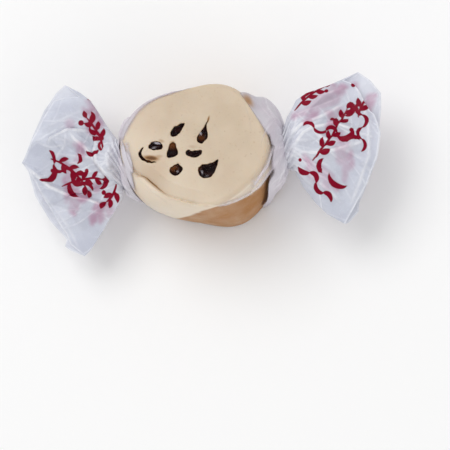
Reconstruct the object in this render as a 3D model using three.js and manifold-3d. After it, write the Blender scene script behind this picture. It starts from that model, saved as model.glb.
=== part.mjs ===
// Salt water taffy: a squat round of pulled taffy with chocolate strands running right through it,
// wrapped in one sheet of waxed paper. The sheet goes once round the taffy and overlaps underneath,
// and each end is gathered into a twisted neck that opens out again into a flattened fan.
// Millimetres, +Z up. The taffy lies on its back face and the twists run along X.
// The origin is on the resting plane, under the middle of the taffy.
import * as THREE from 'three';
import { mergeVertices } from 'three/addons/utils/BufferGeometryUtils.js';
import Module from 'manifold-3d';

const wasm = await Module();
wasm.setup();

const TURN = 2 * Math.PI;
const HALF_TURN = Math.PI;
const { degToRad, radToDeg, lerp, smoothstep, clamp } = THREE.MathUtils;

// Paper: thicker than the real sheet, so that it is a sound solid
const PAPER = 0.3;
const PAPER_GAP = 0.2; // between two layers of paper
const TAFFY_GAP = 0.3; // between the paper and the taffy

// Taffy
const TAFFY_THICKNESS = 17.2;
// The front rim is rounded, in by width and down by drop: sagged near middle, sharp past outer
const RIM = {
  middle: 228,
  inner: 15,
  outer: 60,
  sagged: { width: 1.5, drop: 5 },
  sharp: { width: 1.1, drop: 1.1 },
};
const BACK_EDGE = 1.2; // radius of the rounded rim at the back
const TAFFY_BELLY = 0.3; // how far the side bulges at half thickness
const TAFFY_RADIUS = 10.5; // mean radius of the uneven round outline
const OUTLINE_LOBES = [
  { count: 1, height: 0.18, phase: 8 },
  { count: 2, height: 1.01, phase: 7 },
  { count: 3, height: 0.35, phase: -142 },
  { count: 4, height: 0.2, phase: 88 },
  { count: 5, height: 0.13, phase: 37 },
  { count: 6, height: 0.11, phase: 62 },
];
const BULGES = [
  { height: 1.4, middle: 216, spread: 33, level: 0.25 }, // below the sagged rim
  { height: 0.8, middle: 296, spread: 22, level: -0.8 }, // at the foot, pressed out where it lies
];
const BULGE_REACH = 1.1; // how far each goes up and down the side, in half thicknesses
// How deep the front face is sunk inside its rim, and where
const DISH = { depth: 0.55, inner: 0.85, outer: 0.97, middle: 240, spread: 110 };
const TAFFY_BACK = 2 * PAPER + PAPER_GAP + TAFFY_GAP; // the back face lies on two layers of paper
const TAFFY_FRONT = TAFFY_BACK + TAFFY_THICKNESS;
const AXIS_HEIGHT = TAFFY_BACK + TAFFY_THICKNESS / 2; // of the line through both twists

// Chocolate strands: where each cuts the face, its length and width, the way it points,
// how drawn-out its tip is and how far it bows
const STRAND_SINK = 0.3; // its ends lie a little below the taffy's faces
const STRAND_GAP = 0.3;
const STRANDS = [
  { x: -2.8, y: 2.9, length: 3.3, width: 1.3, turn: 37, tip: 0.8, bow: 0 },
  { x: 1.4, y: 2.1, length: 4.1, width: 1.9, turn: 65, tip: 2.6, bow: 0.1 },
  { x: -6.6, y: 0.7, length: 2.6, width: 1.3, turn: 0, tip: 0, bow: 0.3 },
  { x: -3.9, y: -0.4, length: 2.7, width: 1.9, turn: 82, tip: 1.1, bow: 0 },
  { x: -0.3, y: -1.3, length: 2.9, width: 1.2, turn: -2, tip: 0.3, bow: -0.25 },
  { x: -7.6, y: -1.2, length: 4.0, width: 0.9, turn: -48, tip: 0.3, bow: -0.9 },
  { x: -3.2, y: -3.7, length: 2.3, width: 2.2, turn: 80, tip: 0.6, bow: 0 },
  { x: 1.9, y: -3.6, length: 4.2, width: 2.7, turn: 36, tip: 1.9, bow: 0 },
];

// Wrapper round the taffy
const SHEET_START = 238; // degrees round the twist axis where the inner edge lies, under the taffy
const SHEET_OVERLAP = 64;
const RISE = { from: 250, to: 350 }; // turn over which the sheet climbs onto its own first layer
const NECK_AT = 13.8; // distance of each twist from the middle
const NECK = { y: 3.3, z: 2.8 }; // half width and half height of the twisted neck
const NECK_LENGTH = { inner: 0.6, outer: 1.5 }; // how far it runs towards the taffy and towards the fan
const NECK_PLEATS = 9;
const NECK_PLEAT_DEPTH = 0.4;
const NECK_TWIST = 60; // degrees of twist for each millimetre along the neck
// Where the paper leaves the taffy for the neck on each side, and the exponents of its curve from there
const LEFT_SHOULDER = { start: 10.4, roundness: 1.4, fullness: 1.6 };
const RIGHT_SHOULDER = { start: 8, roundness: 2.1, fullness: 0.7 };
// The right one is pulled tight in this direction
const RIGHT_TAUT = { middle: 215, spread: 65, fullness: 2 };
const TUCK = 0.8; // how far the sheet's and the fans' ends reach into the neck

// Fans, flat: each point is a distance outwards from the neck and a height. The upper and lower folds start
// at the neck, and the free edges of the two layers run from the end of one fold to the end of the other.
// lean is the slope of the fan's plane outwards and upwards; puff is half the gap between its two layers.
// A crease is highest along its line and falls away over the two distances on its left and its right.
const FANS = [
  {
    side: -1,
    upper: [[0.3, 2.5], [2.0, 6.4], [3.6, 9.4], [4.6, 11.2], [6.5, 12.1]],
    lower: [[0.3, -2.5], [0.5, -4.4], [0.9, -6.1], [2.1, -7.9], [4.4, -10.9], [6.8, -13.7], [7.9, -14.5]],
    front: [
      [6.5, 12.1], [9.1, 12.2], [10.8, 11.9], [12.5, 9.8], [13.7, 8.0], [15.0, 6.1], [16.9, 2.8],
      [17.3, 2.2], [16.3, 1.0], [15.0, -1.5], [14.0, -3.8], [12.0, -8.2], [10.7, -10.5], [10.2, -12.3],
      [7.9, -14.5],
    ],
    back: [
      [6.5, 12.1], [8.8, 14.5], [10.5, 13.4], [12.9, 10.8], [15.7, 6.0], [17.5, 2.4], [16.6, 0.9],
      [15.7, -3.4], [13.5, -7.9], [10.9, -11.3], [11.3, -12.4], [10.4, -13.2], [7.9, -14.5],
    ],
    lean: { out: -0.1, up: 0.12 },
    puff: 1.3,
    creases: [
      { face: 1, line: [[16.5, 1.4], [12, -3], [8.7, -4.8], [2.4, -7.5]], height: 0.6, left: 6, right: 1.6 },
      { face: 1, line: [[11.8, 5.6], [8.6, 6.7], [4.9, 5.9]], height: 0.55, left: 3.6, right: 1 },
      { face: 1, line: [[7.7, 4.9], [5.8, 3.1], [3.4, -0.6]], height: 0.5, left: 1.8, right: 1.3 },
      { face: -1, line: [[2, 2], [7, 4.5], [13, 5]], height: 0.6, left: 2.5, right: 2 },
      { face: -1, line: [[2, -2], [7.5, -5], [11, -9.5]], height: 0.55, left: 2.2, right: 2.6 },
    ],
  },
  {
    side: 1,
    upper: [[0.3, 2.5], [0.9, 4.8], [2.5, 7.5], [4.3, 8.5], [7.5, 9.1], [10.7, 9.7]],
    lower: [[0.3, -2.5], [1.2, -3.9], [2.4, -7.0], [4.3, -10.0], [6.0, -12.0], [8.8, -13.9]],
    front: [
      [10.7, 9.7], [12.5, 8.7], [13.3, 7.4], [14.0, 5.4], [14.8, 3.8], [15.4, 3.3], [15.9, 1.6],
      [16.2, -0.1], [15.4, -3.3], [13.2, -7.8], [10.7, -11.3], [8.8, -13.9],
    ],
    back: [
      [10.7, 9.7], [13.3, 10.8], [15.2, 9.2], [16.7, 7.0], [16.5, 4.3], [15.8, 1.0], [15.1, -3.4],
      [13.0, -7.5], [11.4, -10.6], [11.2, -12.0], [9.5, -13.6], [8.8, -13.9],
    ],
    lean: { out: 0.1, up: 0.1 },
    puff: 1.7,
    creases: [
      { face: 1, line: [[1.3, 1.1], [4.7, 3.3], [10.6, 5.6]], height: 0.6, left: 1.3, right: 1.4 },
      { face: 1, line: [[1.7, -1], [5.1, 2.2], [12.1, 0.9]], height: 0.7, left: 1.2, right: 2 },
      { face: 1, line: [[1.1, -2.9], [5.2, -6.7], [8.8, -10.7]], height: 0.4, left: 2.6, right: 1.6 },
      { face: -1, line: [[2, 2], [7, 4], [13, 7]], height: 0.6, left: 2.2, right: 2 },
      { face: -1, line: [[2, -2], [6, -6.5], [9, -11]], height: 0.6, left: 2, right: 2.4 },
    ],
  },
];
const FAN_PLEATS = 5;
const FAN_PLEAT_DEPTH = 0.55;

// How finely things are cut up
const OUTLINE_STEPS = 48;
const STRAND_STEPS = 16;
const SHEET_STEPS_ROUND = 52;
const SHEET_STEPS_ALONG = 22;
const FAN_STEPS_OUT = 8;
const FAN_STEPS_ACROSS = 20;
const NECK_STEPS_ROUND = 36;
const NECK_STEPS_ALONG = 6;

const point = (x, y, z) => new THREE.Vector3(x, y, z);

// How far b is from a, going the short way round, in degrees
function degreesApart(a, b) {
  return Math.abs(((((a - b) % 360) + 540) % 360) - 180);
}

// A closed surface from rings of points that all go the same way round, with a cap at both ends
function geometryFromRings(rings) {
  const positions = [];
  const index = [];
  const count = rings[0].length;
  for (const ring of rings) {
    for (const p of ring) positions.push(p.x, p.y, p.z);
  }
  const at = (ring, i) => ring * count + (i % count);
  for (let r = 0; r < rings.length - 1; r++) {
    for (let i = 0; i < count; i++) {
      index.push(at(r, i), at(r, i + 1), at(r + 1, i + 1));
      index.push(at(r, i), at(r + 1, i + 1), at(r + 1, i));
    }
  }
  const last = rings.length - 1;
  for (let i = 0; i < count / 2 - 1; i++) {
    // each cap is a strip between the ring's two halves
    const [a, b, c, d] = [i, i + 1, count - 2 - i, count - 1 - i];
    index.push(at(0, a), at(0, d), at(0, c), at(0, a), at(0, c), at(0, b));
    index.push(at(last, a), at(last, b), at(last, c), at(last, a), at(last, c), at(last, d));
  }
  const geometry = new THREE.BufferGeometry();
  geometry.setAttribute('position', new THREE.Float32BufferAttribute(positions, 3));
  geometry.setIndex(index);
  return geometry;
}

function solidFrom(geometry) {
  const bare = geometry.clone();
  bare.deleteAttribute('normal');
  bare.deleteAttribute('uv');
  const merged = mergeVertices(bare, 1e-4);
  const vertProperties = new Float32Array(merged.attributes.position.array);
  const make = (triVerts) => {
    const mesh = new wasm.Mesh({ numProp: 3, vertProperties, triVerts });
    return new wasm.Manifold(mesh);
  };
  const solid = make(new Uint32Array(merged.index.array));
  // rings that run the other way round give faces that look inwards
  return solid.volume() < 0 ? make(new Uint32Array(merged.index.array).reverse()) : solid;
}

function geometryFrom(solid) {
  const mesh = solid.getMesh();
  const geometry = new THREE.BufferGeometry();
  geometry.setAttribute('position', new THREE.BufferAttribute(mesh.vertProperties, 3));
  geometry.setIndex(new THREE.BufferAttribute(mesh.triVerts, 1));
  geometry.computeVertexNormals();
  return geometry;
}

// ---- Taffy ----

function outlineRadius(angle) {
  let radius = TAFFY_RADIUS;
  for (const lobe of OUTLINE_LOBES) {
    radius += lobe.height * Math.cos(lobe.count * angle + degToRad(lobe.phase));
  }
  return radius;
}

// How far the front face is sunk at this share of the way out to the rim
function dishDepth(share, angle) {
  const away = degreesApart(radToDeg(angle), DISH.middle);
  const inDirection = 1 - smoothstep(away, DISH.spread / 2, DISH.spread);
  return DISH.depth * inDirection * (1 - smoothstep(share, DISH.inner, DISH.outer));
}

function taffyGeometry() {
  const rimOf = (name) => (angle) => {
    const away = degreesApart(radToDeg(angle), RIM.middle);
    return lerp(RIM.sagged[name], RIM.sharp[name], smoothstep(away, RIM.inner, RIM.outer));
  };
  const width = rimOf('width');
  const drop = rimOf('drop');
  const side = (angle, z) => {
    const level = (z - AXIS_HEIGHT) / (TAFFY_THICKNESS / 2);
    let radius = outlineRadius(angle) + TAFFY_BELLY * (1 - level ** 2);
    for (const bulge of BULGES) {
      const away = degreesApart(radToDeg(angle), bulge.middle);
      const upright = 1 - ((level - bulge.level) / BULGE_REACH) ** 2;
      radius += bulge.height * Math.exp(-((away / bulge.spread) ** 2)) * Math.max(0, upright);
    }
    return radius;
  };
  // Each stop gives the radius and height of one ring at an angle
  const stops = [];
  for (const share of [0.02, 0.4, 0.7, 0.85, 0.91, 0.97]) {
    stops.push((a) => [share * (side(a, TAFFY_FRONT) - width(a)), TAFFY_FRONT - dishDepth(share, a)]);
  }
  for (const degrees of [0, 30, 60, 90]) {
    const turn = degToRad(degrees);
    const height = (a) => TAFFY_FRONT - drop(a) * (1 - Math.cos(turn));
    stops.push((a) => [side(a, height(a)) - width(a) * (1 - Math.sin(turn)), height(a)]);
  }
  for (const share of [0.25, 0.5, 0.75]) {
    const height = (a) => lerp(TAFFY_FRONT - drop(a), TAFFY_BACK + BACK_EDGE, share);
    stops.push((a) => [side(a, height(a)), height(a)]);
  }
  for (const degrees of [90, 60, 30, 0]) {
    const turn = degToRad(degrees);
    const z = TAFFY_BACK + BACK_EDGE * (1 - Math.cos(turn));
    stops.push((a) => [side(a, z) - BACK_EDGE * (1 - Math.sin(turn)), z]);
  }
  for (const share of [0.5, 0.02]) {
    stops.push((a) => [share * (side(a, TAFFY_BACK) - BACK_EDGE), TAFFY_BACK]);
  }

  const rings = stops.map((stop) => {
    const ring = [];
    for (let i = 0; i < OUTLINE_STEPS; i++) {
      const angle = (TURN * i) / OUTLINE_STEPS;
      const [radius, z] = stop(angle);
      ring.push(point(radius * Math.cos(angle), radius * Math.sin(angle), z));
    }
    return ring;
  });
  return geometryFromRings(rings);
}

// Section of one strand: a drop that is round at one end, drawn out at the other and bowed sideways
function strandShape(strand, grow) {
  const points = [];
  for (let i = 0; i < STRAND_STEPS; i++) {
    const t = (TURN * i) / STRAND_STEPS;
    const along = Math.cos(t) * (strand.length / 2 + grow);
    const narrowing = Math.sin(t / 2) ** 2;
    const taper = lerp(1, narrowing ** (strand.tip / 2), Math.min(1, strand.tip));
    const bow = strand.bow * (1 - Math.cos(t) ** 2);
    const across = Math.sin(t) * ((strand.width / 2) * taper + grow) + bow;
    points.push(new THREE.Vector2(along, across));
  }
  return new THREE.Shape(points);
}

function strandGeometry(strand, grow, sink) {
  const geometry = new THREE.ExtrudeGeometry(strandShape(strand, grow), {
    depth: TAFFY_THICKNESS - 2 * sink,
    bevelEnabled: false,
    steps: 1,
  });
  geometry.rotateZ(degToRad(strand.turn));
  geometry.translate(strand.x, strand.y, TAFFY_BACK + sink);
  return geometry;
}

// ---- Wrapper ----

const taffyBlank = taffyGeometry();

const axisRay = new THREE.Raycaster();
const taffyTarget = new THREE.Mesh(taffyBlank, new THREE.MeshBasicMaterial({ side: THREE.DoubleSide }));

// Distance from the twist axis out to the taffy's surface, 0 past its ends
function taffyReachAt(x, angle) {
  axisRay.set(point(x, 0, AXIS_HEIGHT), point(0, Math.cos(angle), Math.sin(angle)));
  const hits = axisRay.intersectObject(taffyTarget);
  return hits.length ? hits[hits.length - 1].distance : 0;
}

// The most that it reaches close to a station, so that the sheet's flat faces clear its rounded rims too
function taffyReach(x, angle) {
  const halfStep = degToRad((360 + SHEET_OVERLAP) / SHEET_STEPS_ROUND / 2);
  const near = [-1, 0, 1].flatMap((step) => [
    taffyReachAt(x + step * 2 * TAFFY_GAP, angle),
    taffyReachAt(x, angle + step * halfStep),
  ]);
  return Math.max(...near);
}

function neckReach(angle) {
  return 1 / Math.hypot(Math.cos(angle) / NECK.y, Math.sin(angle) / NECK.z);
}

// Raises values to the tightest curve over them that never sags between stations, as stretched paper does
function pullTaut(stations, values) {
  const kept = [];
  stations.forEach((x, i) => {
    const below = () => {
      const [a, b] = kept.slice(-2);
      return (b.v - a.v) * (x - a.x) <= (values[i] - a.v) * (b.x - a.x);
    };
    while (kept.length > 1 && below()) kept.pop();
    kept.push({ x, v: values[i] });
  });
  return stations.map((x) => {
    const next = Math.max(1, kept.findIndex((k) => k.x >= x));
    const [a, b] = [kept[next - 1], kept[next]];
    return lerp(a.v, b.v, (x - a.x) / (b.x - a.x));
  });
}

// Distance of the paper's inner side from the axis at every station, for one direction
function paperReach(stations, angle) {
  const slack = degreesApart(radToDeg(angle), RIGHT_TAUT.middle) / RIGHT_TAUT.spread;
  const tautness = Math.exp(-(slack ** 2));
  const values = stations.map((x) => {
    const curve = x < 0 ? LEFT_SHOULDER : RIGHT_SHOULDER;
    const away = (Math.abs(x) - curve.start) / (NECK_AT - curve.start);
    const start = taffyReach(Math.sign(x) * curve.start, angle);
    const fullness = x < 0 ? curve.fullness : lerp(curve.fullness, RIGHT_TAUT.fullness, tautness);
    const rounded = Math.max(0, 1 - Math.max(0, away) ** curve.roundness) ** fullness;
    const shoulder = away <= 0 ? 0 : lerp(neckReach(angle) - PAPER - TUCK, start, rounded);
    return Math.max(taffyReach(x, angle) + TAFFY_GAP, shoulder);
  });
  const ends = stations.findIndex((x) => x >= -LEFT_SHOULDER.start);
  const rest = stations.findIndex((x) => x >= RIGHT_SHOULDER.start);
  return [
    ...pullTaut(stations.slice(0, ends), values.slice(0, ends)),
    ...values.slice(ends, rest),
    ...pullTaut(stations.slice(rest), values.slice(rest)),
  ];
}

// The sheet round the taffy: one layer that starts and ends underneath, lying on itself there
function bodySheet() {
  const stations = [];
  for (let i = 0; i <= SHEET_STEPS_ALONG; i++) {
    const share = (2 * i) / SHEET_STEPS_ALONG - 1;
    // closer together towards the necks
    stations.push(Math.sign(share) * (1 - (1 - Math.abs(share)) ** 1.35) * NECK_AT);
  }
  const floors = { outer: 0, inner: PAPER + PAPER_GAP };
  const columns = [];
  for (let i = 0; i <= SHEET_STEPS_ROUND; i++) {
    const turned = (i / SHEET_STEPS_ROUND) * (360 + SHEET_OVERLAP);
    const angle = degToRad(SHEET_START + turned);
    const reach = paperReach(stations, angle);
    const climb = smoothstep(turned, RISE.from, RISE.to);
    const floor = turned < 180 ? floors.inner : floors.outer;
    const lift = climb * (PAPER + PAPER_GAP);
    const place = (distance, lowest) =>
      stations.map((x, k) => {
        const r = reach[k] + lift + distance;
        return point(x, r * Math.cos(angle), Math.max(lowest, AXIS_HEIGHT + r * Math.sin(angle)));
      });
    columns.push({ outside: place(PAPER, floor), inside: place(0, floor + PAPER) });
  }
  // Each ring goes out along one face of the sheet and back along the other
  const rings = columns.map((c) => [...c.inside, ...c.outside.slice().reverse()]);
  return solidFrom(geometryFromRings(rings));
}

// The twisted neck: a pleated bundle of paper, solid right through, over the ends of the sheet and the fan
function neckSolid(side) {
  const rings = [];
  for (let k = 0; k <= NECK_STEPS_ALONG; k++) {
    const share = k / NECK_STEPS_ALONG;
    const x = NECK_AT + lerp(-NECK_LENGTH.inner, NECK_LENGTH.outer, share);
    const narrowing = TUCK * (2 * share - 1) ** 4;
    const ring = [];
    for (let i = 0; i < NECK_STEPS_ROUND; i++) {
      const angle = (TURN * i) / NECK_STEPS_ROUND;
      const phase = NECK_PLEATS * (angle + side * degToRad(NECK_TWIST) * (x - NECK_AT));
      const pleat = NECK_PLEAT_DEPTH * (Math.abs(Math.sin(phase / 2)) - 0.5);
      const r = neckReach(angle) + pleat - narrowing;
      ring.push(point(side * x, r * Math.cos(angle), AXIS_HEIGHT + r * Math.sin(angle)));
    }
    rings.push(ring);
  }
  return solidFrom(geometryFromRings(rings));
}

// A point along a bent line, by share of its length; past its end it goes straight on
function alongLine(line, share) {
  const lengths = line.slice(1).map((p, i) => Math.hypot(p[0] - line[i][0], p[1] - line[i][1]));
  let left = share * lengths.reduce((a, b) => a + b);
  let i = 0;
  while (i < lengths.length - 1 && left > lengths[i]) left -= lengths[i++];
  const t = left / lengths[i];
  return [lerp(line[i][0], line[i + 1][0], t), lerp(line[i][1], line[i + 1][1], t)];
}

// Height of a crease at a point of the flat fan
function creaseHeight(crease, out, up) {
  let nearest = Infinity;
  let onLeft = true;
  for (let i = 1; i < crease.line.length; i++) {
    const [ax, ay] = crease.line[i - 1];
    const [dx, dy] = [crease.line[i][0] - ax, crease.line[i][1] - ay];
    const t = clamp(((out - ax) * dx + (up - ay) * dy) / (dx * dx + dy * dy), 0, 1);
    const gap = Math.hypot(out - ax - t * dx, up - ay - t * dy);
    if (gap < nearest) {
      nearest = gap;
      onLeft = dx * (up - ay) - dy * (out - ax) > 0;
    }
  }
  return crease.height * Math.max(0, 1 - nearest / (onLeft ? crease.left : crease.right));
}

// A point of a fan. share goes out from the neck to the free edge, across from the upper to the lower fold.
// face is 1 on the front layer and -1 on the back one. inset moves both layers towards each other.
function fanPoint(fan, share, across, face, inset) {
  const turn = HALF_TURN * across;
  const neck = [0.3, (NECK.y - TUCK) * Math.cos(turn)];
  const edge = alongLine(face > 0 ? fan.front : fan.back, across);
  const upper = alongLine(fan.upper, share);
  const lower = alongLine(fan.lower, share);
  // the patch between the neck, the free edge and the two folds
  const [out, up] = [0, 1].map((i) => {
    const nearNeck = lerp(fan.upper[0][i], fan.lower[0][i], across);
    const nearEdge = lerp(fan.front[0][i], fan.front[fan.front.length - 1][i], across);
    const corners = lerp(nearNeck, nearEdge, share);
    return lerp(neck[i], edge[i], share) + lerp(upper[i], lower[i], across) - corners;
  });
  const round = Math.sqrt(Math.max(0, Math.sin(turn)));
  const depth = lerp(NECK.z - TUCK, fan.puff * (1 - 0.35 * share), Math.min(1, 3 * share)) * round;
  const unfolded = Math.min(1, 4 * share);
  const pleat = FAN_PLEAT_DEPTH * (1 - share) * unfolded * Math.cos(TURN * FAN_PLEATS * across);
  const creased = fan.creases.filter((c) => c.face === face);
  const relief = creased.reduce((sum, c) => sum + creaseHeight(c, out, up), 0) * round * unfolded;
  const middle = AXIS_HEIGHT + fan.lean.out * out + fan.lean.up * up * share;
  return point(fan.side * (NECK_AT + out), up, middle + face * (depth + relief - inset) + pleat * round);
}

// One closed lens of a fan, from the share `first` of the way out to `last`, between two shares across
function fanLens(fan, { first, last, margin, inset }) {
  const rings = [];
  for (let k = 0; k <= FAN_STEPS_OUT; k++) {
    const share = lerp(first, last, k / FAN_STEPS_OUT);
    const ring = [];
    for (const face of [1, -1]) {
      for (let i = 0; i <= FAN_STEPS_ACROSS; i++) {
        const t = i / FAN_STEPS_ACROSS;
        const across = lerp(margin, 1 - margin, face > 0 ? t : 1 - t);
        ring.push(fanPoint(fan, share, across, face, inset));
      }
    }
    rings.push(ring);
  }
  return solidFrom(geometryFromRings(rings));
}

function fanSolid(fan) {
  const outside = fanLens(fan, { first: 0, last: 1, margin: 0, inset: 0 });
  const hollow = fanLens(fan, { first: 0.22, last: 1.08, margin: 0.05, inset: PAPER });
  return outside.subtract(hollow);
}

function wrapperGeometry() {
  let wrapper = bodySheet();
  for (const fan of FANS) wrapper = wrapper.add(neckSolid(fan.side)).add(fanSolid(fan));
  return geometryFrom(wrapper);
}

// ---- Assembly ----

const taffyMaterial = new THREE.MeshStandardMaterial({ color: 0xd6c0a4, roughness: 0.45, metalness: 0 });
const strandMaterial = new THREE.MeshStandardMaterial({ color: 0x24100b, roughness: 0.2, metalness: 0 });
const paperMaterial = new THREE.MeshStandardMaterial({ color: 0xe4e7ee, roughness: 0.5, metalness: 0 });

const saltWaterTaffy = new THREE.Group();

let taffy = solidFrom(taffyBlank);
for (const strand of STRANDS) taffy = taffy.subtract(solidFrom(strandGeometry(strand, STRAND_GAP, -1)));
const taffyMesh = new THREE.Mesh(geometryFrom(taffy), taffyMaterial);
taffyMesh.name = 'taffy';
saltWaterTaffy.add(taffyMesh);

STRANDS.forEach((strand, i) => {
  const mesh = new THREE.Mesh(strandGeometry(strand, 0, STRAND_SINK), strandMaterial);
  mesh.name = `strand_${i + 1}`;
  saltWaterTaffy.add(mesh);
});

const wrapperMesh = new THREE.Mesh(wrapperGeometry(), paperMaterial);
wrapperMesh.name = 'wrapper';
saltWaterTaffy.add(wrapperMesh);

export default saltWaterTaffy;
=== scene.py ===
"""Salt water taffy: a squat round of pulled taffy with dark chocolate strands running through it,
in a sheet of printed waxed paper twisted at both ends. It lies on its flat back face.

Lengths are millimetres until a mesh is made, and angles are degrees. The twists run along X.
The angle round them starts at +Y and goes through +Z, so 90 is up and 270 is down.
"""

import math

import bpy
import numpy as np
from mathutils import Matrix, Vector
from mathutils.bvhtree import BVHTree


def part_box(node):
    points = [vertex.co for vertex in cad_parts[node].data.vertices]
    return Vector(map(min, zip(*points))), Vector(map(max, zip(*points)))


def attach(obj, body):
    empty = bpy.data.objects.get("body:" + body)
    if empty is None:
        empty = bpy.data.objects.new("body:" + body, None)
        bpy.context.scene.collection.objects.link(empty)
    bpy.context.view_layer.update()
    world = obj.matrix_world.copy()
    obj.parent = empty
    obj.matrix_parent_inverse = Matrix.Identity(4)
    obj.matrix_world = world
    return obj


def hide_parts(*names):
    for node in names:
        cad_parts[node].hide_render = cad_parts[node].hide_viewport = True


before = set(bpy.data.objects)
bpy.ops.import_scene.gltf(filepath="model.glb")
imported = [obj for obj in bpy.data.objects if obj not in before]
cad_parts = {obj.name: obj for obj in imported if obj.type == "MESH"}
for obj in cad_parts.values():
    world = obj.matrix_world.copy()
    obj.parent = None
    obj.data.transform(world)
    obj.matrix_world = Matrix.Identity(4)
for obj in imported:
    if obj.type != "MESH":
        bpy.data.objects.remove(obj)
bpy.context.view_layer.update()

MM = 0.001

# ---- Sizes ----

TAFFY_LOW, TAFFY_HIGH = (corner[2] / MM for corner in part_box("taffy"))
STRAND_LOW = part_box("strand_1")[0][2] / MM
AXIS_HEIGHT = (TAFFY_LOW + TAFFY_HIGH) / 2

FILM = 0.05  # thickness of the waxed paper
FILM_GAP = 0.03  # between the film and what it touches
LAYER_GAP = 0.1  # between two layers of film
FILL = 0.5  # the taffy fills the space that thick paper takes in the solids

# Taffy, as in the solids
TAFFY_BELLY = 0.3
TAFFY_RADIUS = 10.5 + FILL
OUTLINE_LOBES = [
    (1, 0.18, 8),
    (2, 1.01, 7),
    (3, 0.35, -142),
    (4, 0.2, 88),
    (5, 0.13, 37),
    (6, 0.11, 62),
]  # count, height, phase
RIM_MIDDLE, RIM_INNER, RIM_OUTER = 228, 15, 60  # where the front rim has sagged
RIM_WIDTH = (1.6, 0.8)  # of the rounding where it has sagged and where it is sharp
RIM_DROP = (5, 0.9)  # its height there
BACK_EDGE = 1.0
BULGES = [
    (1.4, 216, 33, 0.25),
    (0.8, 296, 22, -0.8),
]  # height, middle, spread, level
BULGE_REACH = 1.1
FACE_DISH = 0.18  # how far the middle of the face has sunk
FACE_WAVES = [(0.08, 9, 3), (0.015, 2.2, 4)]  # soft relief of the face: height, length, seed
SIDE_WAVES = [(0.14, 8, 5), (0.02, 2.4, 6)]  # and of the side
TAFFY_FRONT = TAFFY_HIGH + FILL
TAFFY_BACK = 2 * FILM + LAYER_GAP + 2 * FILM_GAP

# Chocolate strands: the outline of each one's end in the face
STRANDS = [
    [(-1.28, 3.85), (-1.58, 3.25), (-2.18, 2.45), (-2.78, 1.85), (-3.48, 1.65), (-3.88, 1.95), (-3.78, 2.65),
     (-3.18, 3.25), (-2.28, 3.65)],
    [(2.72, 4.15), (2.42, 3.45), (2.17, 2.85), (2.22, 2.3), (2.42, 1.55), (2.12, 0.75), (1.32, 0.15),
     (0.67, 0.2), (0.42, 0.75), (0.62, 1.55), (1.27, 2.1), (1.82, 2.85), (2.32, 3.5)],
    [(-7.68, 0.3), (-7.48, 0.85), (-6.98, 1.25), (-6.28, 1.3), (-5.68, 1.1), (-5.38, 0.65), (-5.28, 0.15),
     (-5.68, -0.15), (-6.48, -0.2), (-7.23, -0.05)],
    [(-4.03, 0.7), (-3.53, 0.9), (-3.08, 0.55), (-3.08, -0.1), (-2.78, -0.75), (-2.88, -1.35), (-3.48, -1.6),
     (-4.28, -1.75), (-4.78, -1.45), (-4.63, -0.85), (-4.38, -0.15)],
    [(-1.58, -0.9), (-1.13, -0.7), (-0.63, -0.95), (-0.08, -0.85), (0.32, -1), (0.82, -0.85), (1.22, -1.1),
     (1.02, -1.6), (0.52, -1.95), (-0.23, -2.15), (-0.93, -1.85), (-1.43, -1.45)],
    [(-8.23, 0.55), (-8.88, 0.3), (-9.33, -0.25), (-9.28, -1), (-8.83, -1.7), (-7.93, -2.2), (-6.68, -2.3),
     (-6.38, -2.2), (-7.18, -2), (-8.08, -1.65), (-8.73, -1.05), (-8.93, -0.45), (-8.73, 0)],
    [(-2.98, -2.75), (-2.73, -3.15), (-2.23, -3.55), (-2.33, -4.15), (-2.78, -4.6), (-3.48, -4.8),
     (-4.08, -4.6), (-4.43, -4.1), (-4.33, -3.45), (-3.78, -3.1), (-3.33, -2.95)],
    [(3.77, -2.75), (3.52, -3.65), (3.17, -4.5), (2.72, -5.25), (1.97, -5.75), (1.02, -5.65), (0.42, -5.15),
     (0.22, -4.45), (0.37, -3.75), (0.92, -3.4), (1.77, -3.4), (2.62, -3.3), (3.22, -3.05)],
]
CORNER_CUT = 0.22  # share of each side that smoothing an outline takes off its ends
RAGGED = [(0.035, 1.2, 91, 92), (0.03, 0.75, 93, 94)]  # its unevenness: height, length, seeds
MOST_INWARDS = 0.42  # share of its thickness by which an outline is moved inwards at most
RECESS = 0.12  # of the chocolate below the taffy's face
# How far in and how high the rings of a strand lie at its foot, and on the dome in the face
STRAND_FOOT = [(0.35, 0), (0.12, 0.02), (0, 0.1)]
STRAND_DOME = [(0, -0.14), (0.03, -0.04), (0.08, 0.02), (0.18, 0.06), (0.32, 0.08), (0.5, 0.08), (0.8, 0.06)]

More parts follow.
